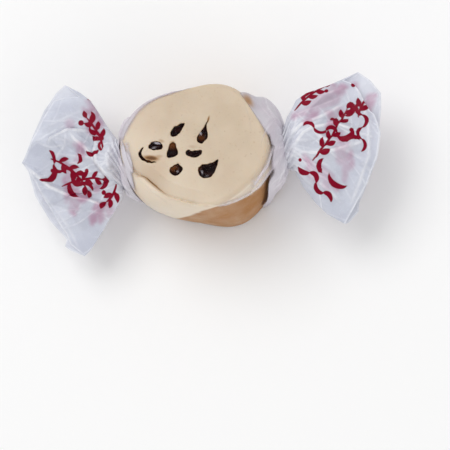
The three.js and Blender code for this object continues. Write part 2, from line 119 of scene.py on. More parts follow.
# Patches on the face: middle, half width, half height, turn, strength
AMBER = [
    (-7.3, -1.45, 1.5, 0.5, -12, 0.78),
    (-6.18, -1.35, 1, 0.4, 5, 0.4),
    (-5.38, 1.25, 0.6, 0.3, -30, 0.4),
    (-3.63, 0.8, 0.5, 0.35, 0, 0.5),
    (2.62, 3.95, 0.2, 0.7, -20, 0.7),
    (-0.38, -0.25, 0.9, 0.35, -10, 0.28),
    (-2.88, -2.85, 0.5, 0.3, 0, 0.3),
]  # thin taffy that the chocolate shows through
PALE_CHOCOLATE = [
    (-3.68, 0.35, 0.8, 0.6, 0, 0.8),
    (-3.78, -3.45, 0.8, 0.6, -30, 0.8),
    (1.22, 1.1, 0.45, 0.6, 60, 0.6),
    (0.6, -3.95, 0.3, 0.5, 0, 0.25),
    (-7.38, -1.9, 1, 0.25, -14, 0.6),
]  # brown parts of the chocolate
PAINTED_GLINTS = [
    (-6.1, 0.92, 0.55, 0.17, -14, 0.85),
    (-6.75, 0.22, 0.5, 0.13, 12, 0.5),
    (1.17, 1.75, 0.22, 0.3, 0, 0.55),
    (-3.08, -4.15, 0.22, 0.18, 0, 0.5),
    (0.92, -4.65, 0.16, 0.4, 10, 0.5),
    (1.72, -5.35, 0.3, 0.12, 20, 0.35),
]  # painted glints on the chocolate: milky spots in the paper over it
POCKETS = [
    (9.35, 6.45, 1.2, 0.6, -62, 0.9),
]  # where the taffy shows through milky paper

# The lip folded up along the lower left of the face: its line, and the groove behind it
LIP_LINE = [(-11.9, 0), (-11.3, -1.7), (-10.6, -2.9), (-9.8, -3.8), (-9.3, -4), (-8.5, -4.45), (-7.8, -5.2),
            (-7.05, -5.95), (-6.35, -6.7), (-5.6, -7.35), (-4.8, -7.9), (-3.9, -8.25), (-2.5, -8.85),
            (-0.7, -9.55), (1, -9.9)]
LIP_DEPTH, LIP_INSIDE, LIP_OUTSIDE = 0.95, 2.0, 0.35  # how deep, and how wide on each side

# Wrapper round the taffy, as in the solids
SHEET_START, SHEET_TURN = 238, 424
RISE_FROM, RISE_TO = 250, 350  # turn over which the sheet climbs onto its own first layer
NECK_AT = 13.8
NECK_Y, NECK_Z = 3.15, 2.65
SHOULDER_START = {-1: 10.4, 1: 8.2}  # where the paper leaves the taffy, on the left and on the right
SHOULDER_ROUNDNESS = {-1: 1.4, 1: 2.1}
SHOULDER_FULLNESS = {-1: 1.8, 1: 0.72}
# Directions in which the right one is tighter: middle, spread, fullness there
TAUT = [(215, 65, 2.1), (38, 42, 1.05)]
SWIRL_FROM, SWIRL_TO = 10.0, 16.6  # distance from the middle over which each end is twisted
SWIRL = {-1: -177, 1: -130}
PLEATS = 15
PLEAT_HEIGHT = 0.95
PLEATS_FROM = 9.6  # distance from the middle
BRIDGING = (10.6, 12.4)  # distance over which the paper comes off the taffy for good
CLINGS, STANDS_OFF = 0.1, 0.32  # lift off the taffy at which it is clear, and at which it is milky

# Fans, in distance outwards from the neck and height along Y
FANS = {
    -1: dict(
        top=[(0, 3.2), (2.2, 6.7), (3.6, 9.4), (4.6, 11.2), (6.5, 12.1)],
        bottom=[(0, -3.1), (0.2, -4.4), (0.7, -6.1), (2.1, -7.9), (4.4, -10.9), (6.8, -13.7), (7.9, -14.5)],
        front=[(6.5, 12.1), (9.1, 12.2), (10.8, 11.9), (12.5, 9.8), (13.7, 8), (15, 6.1), (16.9, 2.8),
               (17.3, 2.2), (16.3, 1), (15, -1.5), (14, -3.8), (12, -8.2), (10.7, -10.5), (10.2, -12.3),
               (7.9, -14.5)],
        back=[(6.5, 12.1), (8.8, 14.5), (10.5, 13.4), (12.9, 10.8), (15.7, 6), (17.5, 2.4), (16.6, 0.9),
              (15.7, -3.4), (13.5, -7.9), (10.9, -11.3), (11.3, -12.4), (10.4, -13.2), (7.9, -14.5)],
        lean=(-0.1, 0.12),
        puff=1.3,
    ),
    1: dict(
        top=[(0, 3.2), (0.4, 4.4), (2.5, 7.6), (4.3, 8.5), (7.5, 9.1), (10.7, 9.7)],
        bottom=[(0, -3.1), (1.2, -3.8), (2.4, -7), (4.3, -10), (6, -12), (8.8, -13.9)],
        front=[(10.7, 9.7), (12.5, 8.7), (13.3, 7.4), (14, 5.4), (14.8, 3.8), (15.4, 3.3), (15.9, 1.6),
               (16.2, -0.1), (15.4, -3.3), (13.2, -7.8), (10.7, -11.3), (8.8, -13.9)],
        back=[(10.7, 9.7), (13.3, 10.8), (15.2, 9.2), (16.7, 7), (16.5, 4.3), (15.8, 1), (15.1, -3.4),
              (13, -7.5), (11.4, -10.6), (11.2, -12), (9.5, -13.6), (8.8, -13.9)],
        lean=(0.1, 0.1),
        puff=1.7,
    ),
}
NEAR_NECK = {-1: 3.4, 1: 2.6}  # how soon the pleats end on each fan
DENSE_NECK = {-1: 2, 1: 1.2}  # how soon the gathered paper thins out there

CREST_WIDTH = 0.19  # of the white line on a crease
FACETINGS = 5  # sets of straight folds that crumple the paper

# Creases: line, height, how far each runs down on its left and on its right, and how white it has turned
CREASES = {
    (-1, 1): [
        ([(16.5, 1.4), (12.6, -2.7), (8.7, -4.8), (5.8, -5.7), (2.4, -7.5)], 1.23, 6, 0.8, 1),
        ([(12.4, 4.6), (11.8, 5.6), (8.6, 6.7), (4.9, 5.9)], 0.845, 3.6, 0.4, 0.9),
        ([(8.4, 6.2), (7.7, 4.9), (5.8, 3.1), (3.4, -0.6), (1.8, -2.5)], 0.78, 1.6, 1.1, 0.9),
        ([(3.4, 5.6), (4.2, 2.6), (3.9, 0.4), (2.3, -2), (0.8, -2.9)], 1.23, 0.5, 2.8, 0.6),
        ([(13.6, 7.4), (9.8, 8.4), (6.2, 9.8)], 0.286, 1.8, 2.6, 0.3),
        ([(0.4, 3.6), (2, 1), (1.6, -2)], 0.91, 1.4, 2.4, 0.4),
        ([(14.2, -3), (10.2, -9.4), (8.8, -13.2)], 0.325, 2.4, 1.6, 0.5),
        ([(11.6, 1.4), (9.4, 4.4), (9, 6.2)], 0.325, 1, 2, 0.5),
    ],
    (1, 1): [
        ([(1.3, 1.1), (3.3, 2.9), (4.7, 3.3), (8, 4.4), (10.6, 5.6)], 0.845, 1, 1.3, 0.9),
        ([(1.7, -1), (3.5, 1.5), (5.1, 2.2), (8.5, 2.5), (12.1, 0.9)], 1.04, 0.9, 2, 0.9),
        ([(2.1, -1.8), (6.5, -2.2), (9.7, -1.7), (13.7, -1)], 0.715, 1.2, 1.6, 0.8),
        ([(1.6, 4.7), (6.1, 6), (10.1, 7)], -0.585, 1.2, 1.4, 0.4),
        ([(1.1, -2.9), (5.2, -6.7), (8.8, -10.7)], 0.585, 2.6, 1.4, 0.6),
        ([(13.6, 6), (14.3, 1.6), (13.9, -3.3), (11.7, -8.2), (9.8, -11.4)], 0.455, 0.9, 2.2, 0.7),
        ([(5.6, 1), (7.6, -0.4), (10.6, -0.6)], 0.52, 0.7, 0.9, 0.7),
        ([(4, 5.2), (7.2, 7.6), (10.8, 8.4)], 0.39, 1, 0.8, 0.6),
    ],
    (-1, -1): [
        ([(2, 2), (7, 4.5), (13, 5)], 0.78, 2.5, 2, 0.7),
        ([(2, -2), (7.5, -5), (11, -9.5)], 0.715, 2.2, 2.6, 0.7),
        ([(3, 0), (9, -0.5), (14.5, -1)], 0.52, 1.6, 1.4, 0.6),
    ],
    (1, -1): [
        ([(2, 2), (7, 4), (13, 7)], 0.78, 2.2, 2, 0.7),
        ([(2, -2), (6, -6.5), (9, -11)], 0.78, 2, 2.4, 0.7),
        ([(3, 0), (9, 0.5), (14.5, -1)], 0.585, 1.6, 1.4, 0.6),
    ],
}
# Random creases on each layer of a fan: how many, and between what limits those four sizes lie
SMALL_CREASES, SMALL_CREASE_SIZES = 18, ((-0.2, 0.3), (0.3, 1.2), (0.3, 1.2), (0, 0.5))
LONG_CREASES, LONG_CREASE_SIZES = 6, ((0.2, 0.42), (0.5, 1.6), (0.5, 1.6), (0.1, 0.5))

# Pleats of the paper along the rim of the taffy: line, height, reach, how white
RIM_FOLDS = [
    ([(13.3, -0.3, 14), (12.2, -1.4, 16.4), (11.8, -3, 17.2), (11.2, -4.5, 17), (9.9, -6.1, 16.8),
      (8.35, -7.6, 16)], 0.3, 0.4, 0.55),
    ([(13.4, -1.4, 11.4), (12.3, -2.9, 12.7), (11.1, -4.7, 13.5), (9.3, -6.8, 13.6), (7.7, -8.1, 14.6),
      (5.85, -9.2, 16), (4.1, -9.8, 16.7), (2.2, -10.3, 17.3)], 0.35, 0.42, 0.5),
    ([(-11.6, 2.9, 17.6), (-11, 4.3, 18), (-10.2, 5.4, 18), (-9, 6.8, 18), (-7.6, 7.8, 18), (-6, 8.7, 18),
      (-4, 9.2, 18), (-1.5, 9.6, 18)], 0.2, 0.6, 0.5),
    ([(8.4, 7.2, 18.7), (9, 5, 18.8), (9.45, 2.9, 18.8), (9.5, 0.9, 18.8)], 0.08, 0.35, 0.1),
    ([(-7.5, -4.7, 18.3), (-6.7, -5.4, 18.3), (-5.8, -6.2, 18.3)], 0.06, 0.25, 0.1),
    ([(-12.4, 1.4, 15.5), (-11.8, 1.6, 17.6), (-10.4, 1.9, 18.6)], 0.12, 0.35, 0.1),
    ([(-11.5, -1.2, 17.6), (-10.2, -3.9, 17.2), (-8, -6.4, 15.6), (-5, -8.9, 14)], 0.1, 0.5, 0.12),
]
# Where the paper stops clinging to the face: line in plan, outwards on its left, how milky past it
FACE_EDGES = [
    ([(7.9, 8), (8.57, 6.9), (9.59, 5.1), (10.74, 3), (11.65, 1.25), (12.2, 0.2)], 0.95),
    ([(-11.8, 1.5), (-11.3, 2.8), (-10.7, 3.9), (-10, 4.9), (-8.9, 6.3), (-7.8, 7.2), (-6.4, 8), (-4.9, 8.5),
      (-3.2, 8.9), (-1.2, 9.3), (0.6, 9.7)], 0.75),
]
# The paper clings to the taffy's near side as far to the right as this: height, X
CLING_EDGE = [(1, 7.9), (3.6, 8.2), (5.3, 8.9), (6.3, 9.6), (8, 10.1), (11.4, 10.7), (14, 11.4), (16, 12),
              (19, 12.4)]
# A painted shadow line down the taffy's near side, where that paper ends
FOLD_EDGE = [(11, -5.1, 12.6), (10.6, -5.5, 11.4), (10, -6.4, 8), (9.7, -7.1, 6.3), (8.7, -8.6, 5.3),
             (8, -9.3, 3.6), (7.6, -9.6, 1.5)]
# Thin painted shadow lines where the paper's pleats meet the taffy, and how dark each is
RIM_SHADOW_LINES = [
    ([(12.4, 0.1, 16.5), (12.23, -0.6, 17), (11.53, -2.12, 17.6), (11.29, -3.45, 17.4), (10.59, -5.11, 17.4),
      (9.57, -6.29, 17.3), (8.2, -7.68, 16.9), (6.4, -8.9, 16.8)], 0.22),
    ([(11.9, -4.6, 12), (10.9, -5.6, 12.2), (9.3, -7.2, 12.7), (8, -8.15, 13.4), (6.1, -9.3, 15.2),
      (4.1, -10, 15.9), (2.2, -10.4, 16.9)], 0.3),
    ([(9.6, 5.2, 18.3), (10.7, 3, 18), (11.6, 1.3, 17.6), (12.1, 0.4, 17)], 0.16),
    ([(-11, -1.9, 18), (-10.2, -3, 18), (-9, -3.9, 18)], 0.25),
]
NEAR_SIDE = 282  # direction of the side that the photograph shows
# Below this line painted shade turns the taffy's near side brown: direction round the taffy, height
UNDER_SHADE_EDGE = [(190, 3), (222, 3.4), (234, 5.6), (248, 9.5), (261, 13.5), (272, 16), (282, 17), (293, 15.9),
              (304, 14.7), (316, 12.6), (329, 11.6), (345, 13), (360, 14)]

# Photograph: where the camera stood, how the picture is turned and how it frames the taffy
VIEW_FROM = (0.14, -0.18, 0.97)
VIEW_ROLL = 5.9
VIEW_DISTANCE = 420
PIXELS_PER_MM = 6.0
PHOTO_SIZE = 450
TAFFY_PIXEL = (203.5, 155.5)  # where the middle of the taffy is in the photograph
SENSOR = 36  # width of the camera's sensor

# Studio: where each light stands in metres, its size and its power
LIGHTS = {"fill": ((0.3, -0.35, 0.22), 0.4, 0.45), "key": ((-0.18, 0.24, 0.5), 0.4, 1.35)}
WORLD_LIGHT = 0.65
FLOOR_REACH = 2000
FLOOR_WHITE = 0.96

# How finely things are cut up
TAFFY_STEPS = 320
FACE_RINGS, RIM_RINGS, SIDE_RINGS, EDGE_RINGS, BACK_RINGS = 64, 18, 24, 10, 16
STRAND_STEPS, STRAND_RINGS = 44, 8
FILM_COLUMNS = 436
BODY_ROWS = 130
SHOULDER_ROWS = 44
FAN_ROWS = 106


# ---- Numbers and curves ----


def view_axes():
    """The directions in which the photograph's right and up point, and the one towards its camera."""
    toward = Vector(VIEW_FROM).normalized()
    roll = math.radians(VIEW_ROLL)
    right = Vector((math.cos(roll), -math.sin(roll), 0))
    right = (right - toward * right.dot(toward)).normalized()
    return right, toward.cross(right), toward


def smoothstep(x, low, high):
    t = np.clip((x - low) / (high - low), 0, 1)
    return t * t * (3 - 2 * t)


def lerp(a, b, t):
    return a + (b - a) * t


def bell(x, width):
    return np.exp(-((x / width) ** 2))


def degrees_apart(a, b):
    return np.abs((a - b + 180) % 360 - 180)


def along(line, share):
    """Points along a bent line, by share of its length."""
    line = np.array(line, float)
    steps = np.hypot(*np.diff(line, axis=0).T)
    walked = np.concatenate([[0], np.cumsum(steps)])
    return np.stack([np.interp(share * walked[-1], walked, line[:, i]) for i in (0, 1)], -1)


def from_line(x, y, line):
    """Signed distance of points from a bent line, positive on its left, and the share of its length."""
    line = np.array(line, float)
    total = np.hypot(*np.diff(line, axis=0).T).sum()
    nearest, sign, share, walked = np.full(np.shape(x), np.inf), 1.0, 0.0, 0.0
    for (ax, ay), (bx, by) in zip(line, line[1:]):
        dx, dy = bx - ax, by - ay
        length = math.hypot(dx, dy)
        t = np.clip(((x - ax) * dx + (y - ay) * dy) / length**2, 0, 1)
        gap = np.hypot(x - ax - t * dx, y - ay - t * dy)
        closer = gap < nearest
        nearest = np.where(closer, gap, nearest)
        sign = np.where(closer, np.where(dx * (y - ay) - dy * (x - ax) > 0, 1, -1), sign)
        share = np.where(closer, (walked + t * length) / total, share)
        walked += length
    return nearest * sign, share


def from_seen_line(points, line):
    """The same for points and a line in space, as the photograph's camera sees both."""
    right, up, _ = (np.array(axis) for axis in view_axes())
    return from_line(points @ right, points @ up, np.array(line) @ np.stack([right, up], -1))


def fading(share, over):
    """1 along a line, down to 0 over a share of its length at each end."""
    return np.clip(np.minimum(share, 1 - share) / over, 0, 1)


def crease(x, y, line, height, left, right, fade=0.16):
    """A fold line: highest along the line, straight down to nothing on both sides, lower at its ends."""
    distance, share = from_line(x, y, line)
    reach = np.where(distance > 0, left, right)
    return height * np.maximum(0, 1 - np.abs(distance) / reach) * (0.25 + 0.75 * fading(share, fade))


def crest(x, y, line):
    """How close points are to a line, 1 on it, fading at its ends."""
    distance, share = from_line(x, y, line)
    return bell(distance, CREST_WIDTH) * fading(share, 0.12)


def from_line_in_space(points, line):
    """Distance of points from a bent line in space."""
    line = np.array(line, float)
    lengths = np.linalg.norm(np.diff(line, axis=0), axis=1)
    nearest = np.full(points.shape[:-1], np.inf)
    for start, end, length in zip(line, line[1:], lengths):
        step = (end - start) / length
        t = np.clip((points - start) @ step, 0, length)
        nearest = np.minimum(nearest, np.linalg.norm(points - start - t[..., None] * step, axis=-1))
    return nearest


def crumpled(x, y, seed):
    """Relief of crumpled paper: flat facets between straight creases, and how close points are to one."""
    draw = np.random.default_rng(seed)
    points = np.stack([x, y, np.zeros_like(x)], -1)
    relief, line = np.zeros_like(x), np.zeros_like(x)
    for k in range(FACETINGS):
        way, size, start = draw.uniform(0, np.pi), draw.uniform(3.5, 9), draw.uniform(0, 1)
        along_way = x * math.cos(way) + y * math.sin(way) + 0.5 * waves(points, 9, seed + 50 + k, 4)
        saw = 2 * np.abs((along_way / size + start) % 1 - 0.5)
        strength = smoothstep(waves(points, 11, seed + 80 + k, 4), -0.6, 0.8)
        relief += draw.uniform(0.04, 0.08) * size * (saw - 0.5) * strength
        line = np.maximum(line, strength * bell((1 - saw) / 2 * size, 0.13))
    return relief, line


def waves(points, size, seed, count=9):
    """Smooth random relief, mostly between -1 and 1: sine waves in random directions."""
    draw = np.random.default_rng(seed)
    total = np.zeros(points.shape[:-1])
    for _ in range(count):
        direction = draw.normal(size=3)
        direction /= np.linalg.norm(direction)
        length = size * draw.uniform(0.7, 1.5)
        total += np.sin(2 * np.pi * (points @ direction) / length + draw.uniform(0, 2 * np.pi))
    return total / math.sqrt(count)


# ---- Meshes ----


def mesh_object(name, points, faces):
    mesh = bpy.data.meshes.new(name)
    mesh.from_pydata((np.asarray(points) * MM).tolist(), [], faces)
    mesh.validate()
    mesh.update()
    mesh.shade_smooth()
    made = bpy.data.objects.new(name, mesh)
    bpy.context.scene.collection.objects.link(made)
    return made


def set_attribute(piece, name, values):
    attribute = piece.data.attributes.new(name, "FLOAT", "POINT")
    attribute.data.foreach_set("value", np.asarray(values, np.float32).ravel())


def ring_faces(rings, count):
    """Quads between closed rings of points that follow each other."""
    ring, step = np.meshgrid(np.arange(rings - 1), np.arange(count), indexing="ij")
    after = (step + 1) % count
    first = ring * count
    corners = [first + step, first + after, first + count + after, first + count + step]
    return np.stack(corners, -1).reshape(-1, 4).tolist()


def closed_rings(name, rings):
    """A closed surface from rings, capped by a face at each end."""
    count = len(rings[0])
    faces = ring_faces(len(rings), count)
    faces.append(list(range(count))[::-1])
    faces.append([(len(rings) - 1) * count + i for i in range(count)])
    piece = mesh_object(name, np.concatenate(rings), faces)
    if signed_volume(piece) < 0:
        piece.data.flip_normals()
    return piece


def signed_volume(piece):
    piece.data.calc_loop_triangles()
    total = 0.0
    for triangle in piece.data.loop_triangles:
        a, b, c = (piece.data.vertices[i].co for i in triangle.vertices)
        total += a.dot(b.cross(c)) / 6
    return total


# ---- Taffy ----


def outline_radius(angle):
    radius = np.full(np.shape(angle), TAFFY_RADIUS)
    for count, height, phase in OUTLINE_LOBES:
        radius += height * np.cos(np.radians(count * angle + phase))
    return radius


def side_radius(angle, z):
    level = (z - AXIS_HEIGHT) / (TAFFY_FRONT - AXIS_HEIGHT)
    radius = outline_radius(angle) + TAFFY_BELLY * (1 - level**2)
    for height, middle, spread, at_level in BULGES:
        around = bell(degrees_apart(angle, middle), spread)
        radius += height * around * np.maximum(0, 1 - ((level - at_level) / BULGE_REACH) ** 2)
    return radius


def taffy_rings():
    """Rings from the middle of the face over the rim, down the side and to the middle of the back."""
    angle = np.arange(TAFFY_STEPS) * 360 / TAFFY_STEPS
    sharpness = smoothstep(degrees_apart(angle, RIM_MIDDLE), RIM_INNER, RIM_OUTER)
    width, drop = lerp(*RIM_WIDTH, sharpness), lerp(*RIM_DROP, sharpness)
    front, back = np.full_like(angle, TAFFY_FRONT), np.full_like(angle, TAFFY_BACK)
    stops = []
    for share in np.linspace(0.01, 1, FACE_RINGS)[:-1]:
        stops.append((share * (side_radius(angle, front) - width), front))
    for turn in np.radians(np.linspace(0, 90, RIM_RINGS)):
        z = TAFFY_FRONT - drop * (1 - math.cos(turn))
        stops.append((side_radius(angle, z) - width * (1 - math.sin(turn)), z))
    for share in np.linspace(0, 1, SIDE_RINGS)[1:-1]:
        z = lerp(TAFFY_FRONT - drop, TAFFY_BACK + BACK_EDGE, share)
        stops.append((side_radius(angle, z), z))
    for turn in np.radians(np.linspace(90, 0, EDGE_RINGS)):
        z = back + BACK_EDGE * (1 - math.cos(turn))
        stops.append((side_radius(angle, z) - BACK_EDGE * (1 - math.sin(turn)), z))
    for share in np.linspace(1, 0.01, BACK_RINGS)[1:]:
        stops.append((share * (side_radius(angle, back) - BACK_EDGE), back))
    turn = np.radians(angle)
    return [shaped(np.stack([radius * np.cos(turn), radius * np.sin(turn), z], -1)) for radius, z in stops]


def face_relief(x, y):
    """Height of the face over a flat one: the groove behind the folded lip, a slight dish and soft swells."""
    groove = crease(x, y, LIP_LINE, LIP_DEPTH, LIP_INSIDE, LIP_OUTSIDE, fade=0.12)
    relief = -groove - FACE_DISH * np.exp(-((x / 7) ** 2 + ((y + 3) / 6) ** 2))
    points = np.stack([x, y, np.zeros_like(x)], -1)
    for height, length, seed in FACE_WAVES:
        relief += height * waves(points, length, seed)
    return relief


def shaped(ring):
    """A ring of the taffy with its relief: on the front face upwards, on the side outwards."""
    x, y, z = ring.T
    radius = np.hypot(x, y)
    front = smoothstep(z, TAFFY_FRONT - 2.5, TAFFY_FRONT - 0.3)
    side = smoothstep(z, TAFFY_BACK, TAFFY_BACK + 2) * (1 - front)
    relief = sum(height * waves(ring, length, seed) for height, length, seed in SIDE_WAVES)
    out = 1 + side * relief / np.maximum(radius, 1)
    return np.stack([x * out, y * out, z + front * face_relief(x, y)], -1)


def face_height(outline):
    return TAFFY_FRONT + face_relief(outline[:, 0], outline[:, 1])


def at_height(outline, z):
    return np.column_stack([outline, np.broadcast_to(z, len(outline))])


def smooth_outline(corners):
    """A closed outline with its corners cut twice, in even steps."""
    points = np.array(corners, float)
    for _ in range(2):
        after = np.roll(points, -1, axis=0)
        ends = [lerp(points, after, CORNER_CUT), lerp(points, after, 1 - CORNER_CUT)]
        points = np.stack(ends, 1).reshape(-1, 2)
    closed = np.concatenate([points, points[:1]])
    steps = np.hypot(*np.diff(closed, axis=0).T)
    walked = np.concatenate([[0], np.cumsum(steps)])
    at = np.arange(STRAND_STEPS) / STRAND_STEPS * walked[-1]
    even = np.stack([np.interp(at, walked, closed[:, i]) for i in (0, 1)], -1)
    spots = at_height(even, 0)
    for height, length, *seeds in RAGGED:
        even = even + height * np.stack([waves(spots, length, seed) for seed in seeds], -1)
    return even


def inwards(outline):
    """For each point of an outline, the direction to its inside and how thick the shape is there."""
    tangent = np.roll(outline, -1, axis=0) - np.roll(outline, 1, axis=0)
    normal = np.stack([-tangent[:, 1], tangent[:, 0]], -1)
    normal /= np.linalg.norm(normal, axis=1, keepdims=True)
    a, b = outline, np.roll(outline, -1, axis=0)
    normal *= np.sign(np.sum(a[:, 0] * b[:, 1] - a[:, 1] * b[:, 0]))
    thickness = np.full(len(outline), 9.0)
    for i, (point, direction) in enumerate(zip(outline, normal)):
        edge, start = b - a, a - point
        cross = direction[0] * edge[:, 1] - direction[1] * edge[:, 0]
        cross = np.where(np.abs(cross) < 1e-9, 1e-9, cross)
        far = (start[:, 0] * edge[:, 1] - start[:, 1] * edge[:, 0]) / cross
        share = (start[:, 0] * direction[1] - start[:, 1] * direction[0]) / cross
        hit = (far > 1e-3) & (share >= 0) & (share <= 1)
        if hit.any():
            thickness[i] = far[hit].min()
    return normal, thickness


def drawn_in(outline, distance):
    """The outline moved inwards, at most by a share of the shape's own thickness; below 0 is outwards."""
    normal, thickness = inwards(outline)
    step = np.minimum(distance, MOST_INWARDS * thickness)
    step = (np.roll(step, 1) + 2 * step + np.roll(step, -1)) / 4
    return outline + normal * step[:, None]


def patches(x, y, shapes):
    """Soft spots of given strength, 0 to 1."""
    total = np.zeros_like(x)
    for middle_x, middle_y, half_x, half_y, turn, strength in shapes:
        a = math.radians(turn)
        dx, dy = x - middle_x, y - middle_y
        u = (dx * math.cos(a) + dy * math.sin(a)) / half_x
        v = (-dx * math.sin(a) + dy * math.cos(a)) / half_y
        total = np.maximum(total, strength * np.exp(-((u**2 + v**2) ** 1.5)))
    return total


def make_strand(number, corners, material):
    """A strand of chocolate that fills its channel, with a slightly domed, uneven end in the face."""
    outline = smooth_outline(corners)
    rings = []
    for step, height in STRAND_FOOT:
        rings.append(at_height(drawn_in(outline, step), STRAND_LOW + height))
    for share in np.linspace(0.1, 0.95, STRAND_RINGS):
        rings.append(at_height(outline, lerp(STRAND_LOW, face_height(outline) - RECESS, share)))
    for step, height in STRAND_DOME:
        ring = drawn_in(outline, step)
        bumps = 0.035 * waves(at_height(ring, 0), 1.1, seed=20 + number)
        rings.append(at_height(ring, face_height(ring) - RECESS + height + bumps))
    piece = closed_rings(f"strand_fill_{number}", rings)
    points = np.array([v.co for v in piece.data.vertices]) / MM
    set_attribute(piece, "amber", patches(points[:, 0], points[:, 1], PALE_CHOCOLATE))
    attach(piece, "root")
    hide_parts(f"strand_{number}")
    piece.data.materials.append(material)


def cut_channels(piece):
    """Cuts the strands' channels through the taffy."""
    cutters = []
    for corners in STRANDS:
        outline = drawn_in(smooth_outline(corners), -0.02)
        rings = [at_height(outline, z) for z in (-1, AXIS_HEIGHT, TAFFY_FRONT + 2)]
        cutters.append(closed_rings("cutter", rings))
    group = bpy.data.collections.new("cutters")
    bpy.context.scene.collection.children.link(group)
    for cutter in cutters:
        bpy.context.scene.collection.objects.unlink(cutter)
        group.objects.link(cutter)
    cut = piece.modifiers.new("channels", "BOOLEAN")
    cut.operation, cut.solver, cut.operand_type, cut.collection = "DIFFERENCE", "EXACT", "COLLECTION", group
    graph = bpy.context.evaluated_depsgraph_get()
    mesh = bpy.data.meshes.new_from_object(piece.evaluated_get(graph))
    piece.modifiers.clear()
    old, piece.data = piece.data, mesh
    bpy.data.meshes.remove(old)
    mesh.name = piece.name
    for cutter in cutters:
        bpy.data.objects.remove(cutter)
    bpy.data.collections.remove(group)


def brown_marks(x, y):
    """How much chocolate shows through or has run into the taffy here, 0 to 1."""
    total = patches(x, y, AMBER)
    for corners in STRANDS:
        outline = smooth_outline(corners)
        distance, _ = from_line(x, y, np.concatenate([outline, outline[:1]]))
        total = np.maximum(total, 0.6 * np.exp(-np.abs(distance) / 0.08))
    return total


def stains_and_shadow_lines(points, below, groove, share):
    """The taffy's brown marks: brown from the chocolate by the strands, and painted shadow in the groove,
    down the fold edge and where the paper's pleats meet it.
    """
    x, y, z = points.T
    # painted shadow: dark lines in the groove behind the lip, down the fold edge and along the paper's pleats
    lines = 0.75 * bell(groove, 0.16) * bell(share - 0.42, 0.2) * (below < 1.5)
    lines = np.maximum(lines, 0.8 * bell(from_line_in_space(points, FOLD_EDGE), 0.2))
    for line, strength in RIM_SHADOW_LINES:
        edge, along_edge = from_seen_line(points, line)
        lines = np.maximum(lines, strength * bell(edge, 0.16) * (fading(along_edge, 0.1) * (z > 7)))
    return np.maximum(brown_marks(x, y) * np.exp(-below / 0.5), lines)


def make_taffy():
    """The taffy, and a tree of its surface before the channels are cut, for laying the paper on."""
    piece = closed_rings("taffy_body", taffy_rings())
    corners = [v.co / MM for v in piece.data.vertices]
    surface = BVHTree.FromPolygons(corners, [list(p.vertices) for p in piece.data.polygons])
    cut_channels(piece)
    points = np.array([v.co for v in piece.data.vertices]) / MM
    x, y, z = points.T
    below = np.maximum(0, TAFFY_FRONT + face_relief(x, y) - z)
    groove, share = from_line(x, y, LIP_LINE)
    set_attribute(piece, "brown_marks", stains_and_shadow_lines(points, below, groove, share))

    # painted shade: brown on the near side below the edge of the undercut, and softly darker towards the
    # bottom all round
    around = np.degrees(np.arctan2(y, x)) % 360
    near = 1 - smoothstep(degrees_apart(around, NEAR_SIDE), 60, 80)
    undercut_shade = smoothstep(np.interp(around, *zip(*UNDER_SHADE_EDGE)) - z, -0.15, 0.4)
    set_attribute(piece, "painted_under_shade", lerp(0.6 * smoothstep(TAFFY_FRONT - 1 - z, 0, 3), undercut_shade, near))

    # painted light: lightest at the lower left, on the lip and on the rounded rim, less by the groove where
    # shade falls
    shaded = np.exp(-((x + 6.4) ** 2 + (y + 3.4) ** 2) / 8)
    painted_light = 0.62 * smoothstep(-0.7 * x - 0.6 * y, -1.5, 8) * (1 - 0.9 * shaded)
    lip = smoothstep(-groove, 0, 0.8) * smoothstep(-y, -1, 2) * np.clip(share / 0.1, 0, 1)
    near_rim = 1 - smoothstep(degrees_apart(around, 300), 30, 62)
    rounded_rim = smoothstep(below, 0.15, 0.9) * near_rim * (1 - undercut_shade)
    set_attribute(piece, "painted_light", np.maximum.reduce([painted_light, lip, rounded_rim]))
    piece.data.shade_smooth()
    piece.data.set_sharp_from_angle(angle=math.radians(50))
    piece.data.materials.append(new_material("taffy", shade_taffy))
    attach(piece, "root")
    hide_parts("taffy")
    return surface


# ---- Wrapper ----


def neck_reach(angle):
    turn = np.radians(angle)
    return 1 / np.hypot(np.cos(turn) / NECK_Y, np.sin(turn) / NECK_Z)


def pleats(angle):
    """Height of the gathered pleats round the neck, 0 to 1, for directions on the untwisted sheet."""
    draw = np.random.default_rng(11)
    total = np.zeros(np.shape(angle))
    for k in range(PLEATS):
        middle = (k + draw.uniform(-0.28, 0.28)) * 360 / PLEATS
        width = draw.uniform(8, 15)
        ridge = np.maximum(0, 1 - degrees_apart(angle, middle) / width) ** 1.2
        total = np.maximum(total, draw.uniform(0.45, 1) * ridge)
    return total


def swirl(side, distance):
    return SWIRL[side] * smoothstep(distance, SWIRL_FROM, SWIRL_TO)


def pull_taut(stations, values):
    """Raises values to the tightest curve over them that never sags between stations."""
    kept = []
    for x, v in zip(stations, values):
        while len(kept) > 1:
            (ax, av), (bx, bv) = kept[-2:]
            if (bv - av) * (x - ax) > (v - av) * (bx - ax):
                break
            kept.pop()
        kept.append((x, v))
    return np.interp(stations, *zip(*kept))


